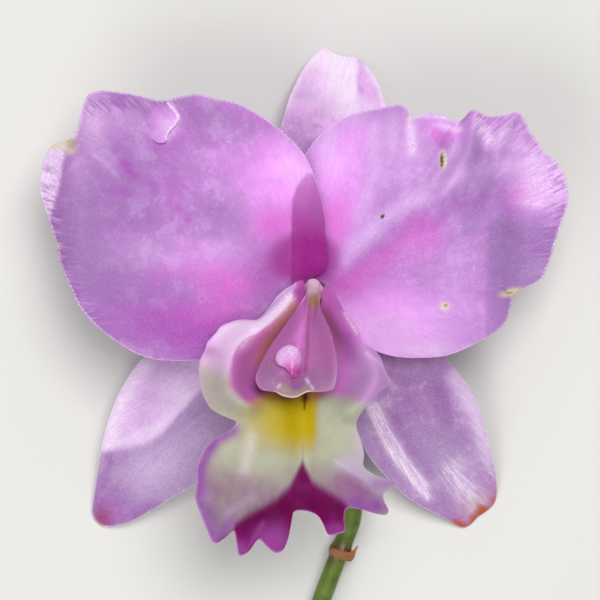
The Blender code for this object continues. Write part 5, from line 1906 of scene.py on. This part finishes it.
class BLOOM_OT_sepals(Operator):
    """Build the three sepals"""
    bl_idname = "bloom.sepals"
    bl_label = "Sepals"

    def execute(self, context):
        sizes = context.scene.bloom_sepals
        for side, main, centre, keys, height, stains, threads in (
            ("top", sizes.top_colour, TOP_SEPAL_CENTRE, TOP_SEPAL_MARGIN, top_sepal_height,
             TOP_SEPAL_STAINS, 0.15),
            ("left", sizes.left_colour, LEFT_SEPAL_CENTRE, LEFT_SEPAL_MARGIN, left_sepal_height,
             LEFT_SEPAL_STAINS, 0.25),
            ("right", sizes.right_colour, RIGHT_SEPAL_CENTRE, RIGHT_SEPAL_MARGIN,
             right_sepal_height, RIGHT_SEPAL_STAINS, 0.75),
        ):
            skin = blade_finish(side + "_sepal_skin", tuple(main), SEPAL_COLOURS, SEPAL_VEIN_COUNT,
                                SEPAL_GRAIN, threads)
            add_blade(side + "_sepal_fine", side + "_sepal", centre, keys, height,
                      skin, stains, SEPAL_RINGS, SEPAL_PARTS, sizes.thickness / MM, SEPAL_TAPER,
                      0.0, SEPAL_TEETH, SEPAL_TOOTH_LENGTH)
        return {"FINISHED"}


class BLOOM_OT_lip(Operator):
    """Build the lip"""
    bl_idname = "bloom.lip"
    bl_label = "Lip"

    def execute(self, context):
        sizes = context.scene.bloom_lip
        add_blade("lip_fine", "lip", LIP_CENTRE, LIP_MARGIN, lip_height, lip_finish(),
                  LIP_STAINS, LIP_RINGS, LIP_PARTS, sizes.thickness / MM)
        return {"FINISHED"}


class BLOOM_OT_column(Operator):
    """Build the column and its anther cap"""
    bl_idname = "bloom.column"
    bl_label = "Column"

    def execute(self, context):
        build_column()
        build_cap()
        return {"FINISHED"}


class BLOOM_OT_stem(Operator):
    """Build the cut stem and its bract"""
    bl_idname = "bloom.stem"
    bl_label = "Stem"

    def execute(self, context):
        build_stem(STEM_SIDES)
        build_bract()
        return {"FINISHED"}


class BLOOM_OT_stage(Operator):
    """Set up the floor, the lights and the camera"""
    bl_idname = "bloom.stage"
    bl_label = "Stage"

    def execute(self, context):
        sizes = context.scene.bloom_stage
        scene = context.scene
        corners = [(-1, -1), (1, -1), (1, 1), (-1, 1)]
        mesh = bpy.data.meshes.new("floor")
        mesh.from_pydata([(FLOOR_HALF * x, FLOOR_HALF * y, 0.0) for x, y in corners], [],
                         [(0, 1, 2, 3)])
        mesh.materials.append(floor_finish())
        floor = bpy.data.objects.new("floor", mesh)
        scene.collection.objects.link(floor)

        lens = bpy.data.cameras.new("camera")
        lens.sensor_width = SENSOR_WIDTH
        lens.lens = SENSOR_WIDTH * (sizes.distance - PETAL_PLANE) / sizes.view_width
        lens.clip_start = CLIP_START
        camera = bpy.data.objects.new("camera", lens)
        camera.location = (SHIFT_X * MM, SHIFT_Y * MM, sizes.distance)
        scene.collection.objects.link(camera)
        scene.camera = camera

        for name, place, size, power in (
            ("key_light", KEY_PLACE, KEY_SIZE, sizes.key_power),
            ("fill_light", FILL_PLACE, FILL_SIZE, sizes.fill_power),
        ):
            lamp = bpy.data.lights.new(name, "AREA")
            lamp.size = size
            lamp.energy = power
            light = bpy.data.objects.new(name, lamp)
            light.location = place
            toward = Vector(LIGHT_AIM) - Vector(place)
            light.rotation_euler = toward.to_track_quat("-Z", "Y").to_euler()
            scene.collection.objects.link(light)

        scene.view_settings.view_transform = "Standard"
        world = bpy.data.worlds.new("studio")
        world.use_nodes = True
        sky = world.node_tree.nodes["Background"]
        sky.inputs["Color"].default_value = (1.0, 1.0, 1.0, 1.0)
        sky.inputs["Strength"].default_value = SKY_STRENGTH
        scene.world = world
        return {"FINISHED"}


class BLOOM_PT_panel(Panel):
    """Lists the builders of the bloom"""
    bl_label = "Cattleya Bloom"
    bl_idname = "BLOOM_PT_panel"
    bl_space_type = "VIEW_3D"
    bl_region_type = "UI"
    bl_category = "Bloom"

    def draw(self, context):
        layout = self.layout
        scene = context.scene
        for operator, settings in (
            ("bloom.petals", scene.bloom_petals),
            ("bloom.sepals", scene.bloom_sepals),
            ("bloom.lip", scene.bloom_lip),
            ("bloom.column", None),
            ("bloom.stem", None),
            ("bloom.stage", scene.bloom_stage),
        ):
            box = layout.box()
            box.operator(operator)
            if settings is not None:
                for name in settings.bl_rna.properties.keys():
                    if name not in ("rna_type", "name"):
                        box.prop(settings, name)


GROUPS = {
    "bloom_petals": PetalSettings,
    "bloom_sepals": SepalSettings,
    "bloom_lip": LipSettings,
    "bloom_stage": StageSettings,
}
CLASSES = (
    *GROUPS.values(), BLOOM_OT_petals, BLOOM_OT_sepals, BLOOM_OT_lip, BLOOM_OT_column,
    BLOOM_OT_stem, BLOOM_OT_stage, BLOOM_PT_panel,
)


def register():
    for kind in CLASSES:
        bpy.utils.register_class(kind)
    for name, kind in GROUPS.items():
        setattr(bpy.types.Scene, name, PointerProperty(type=kind))


def unregister():
    for name in GROUPS:
        delattr(bpy.types.Scene, name)
    for kind in reversed(CLASSES):
        bpy.utils.unregister_class(kind)


def main():
    register()
    bpy.ops.bloom.stem()
    bpy.ops.bloom.sepals()
    bpy.ops.bloom.petals()
    bpy.ops.bloom.lip()
    bpy.ops.bloom.column()
    bpy.ops.bloom.stage()
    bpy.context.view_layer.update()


if __name__ == "__main__":
    main()
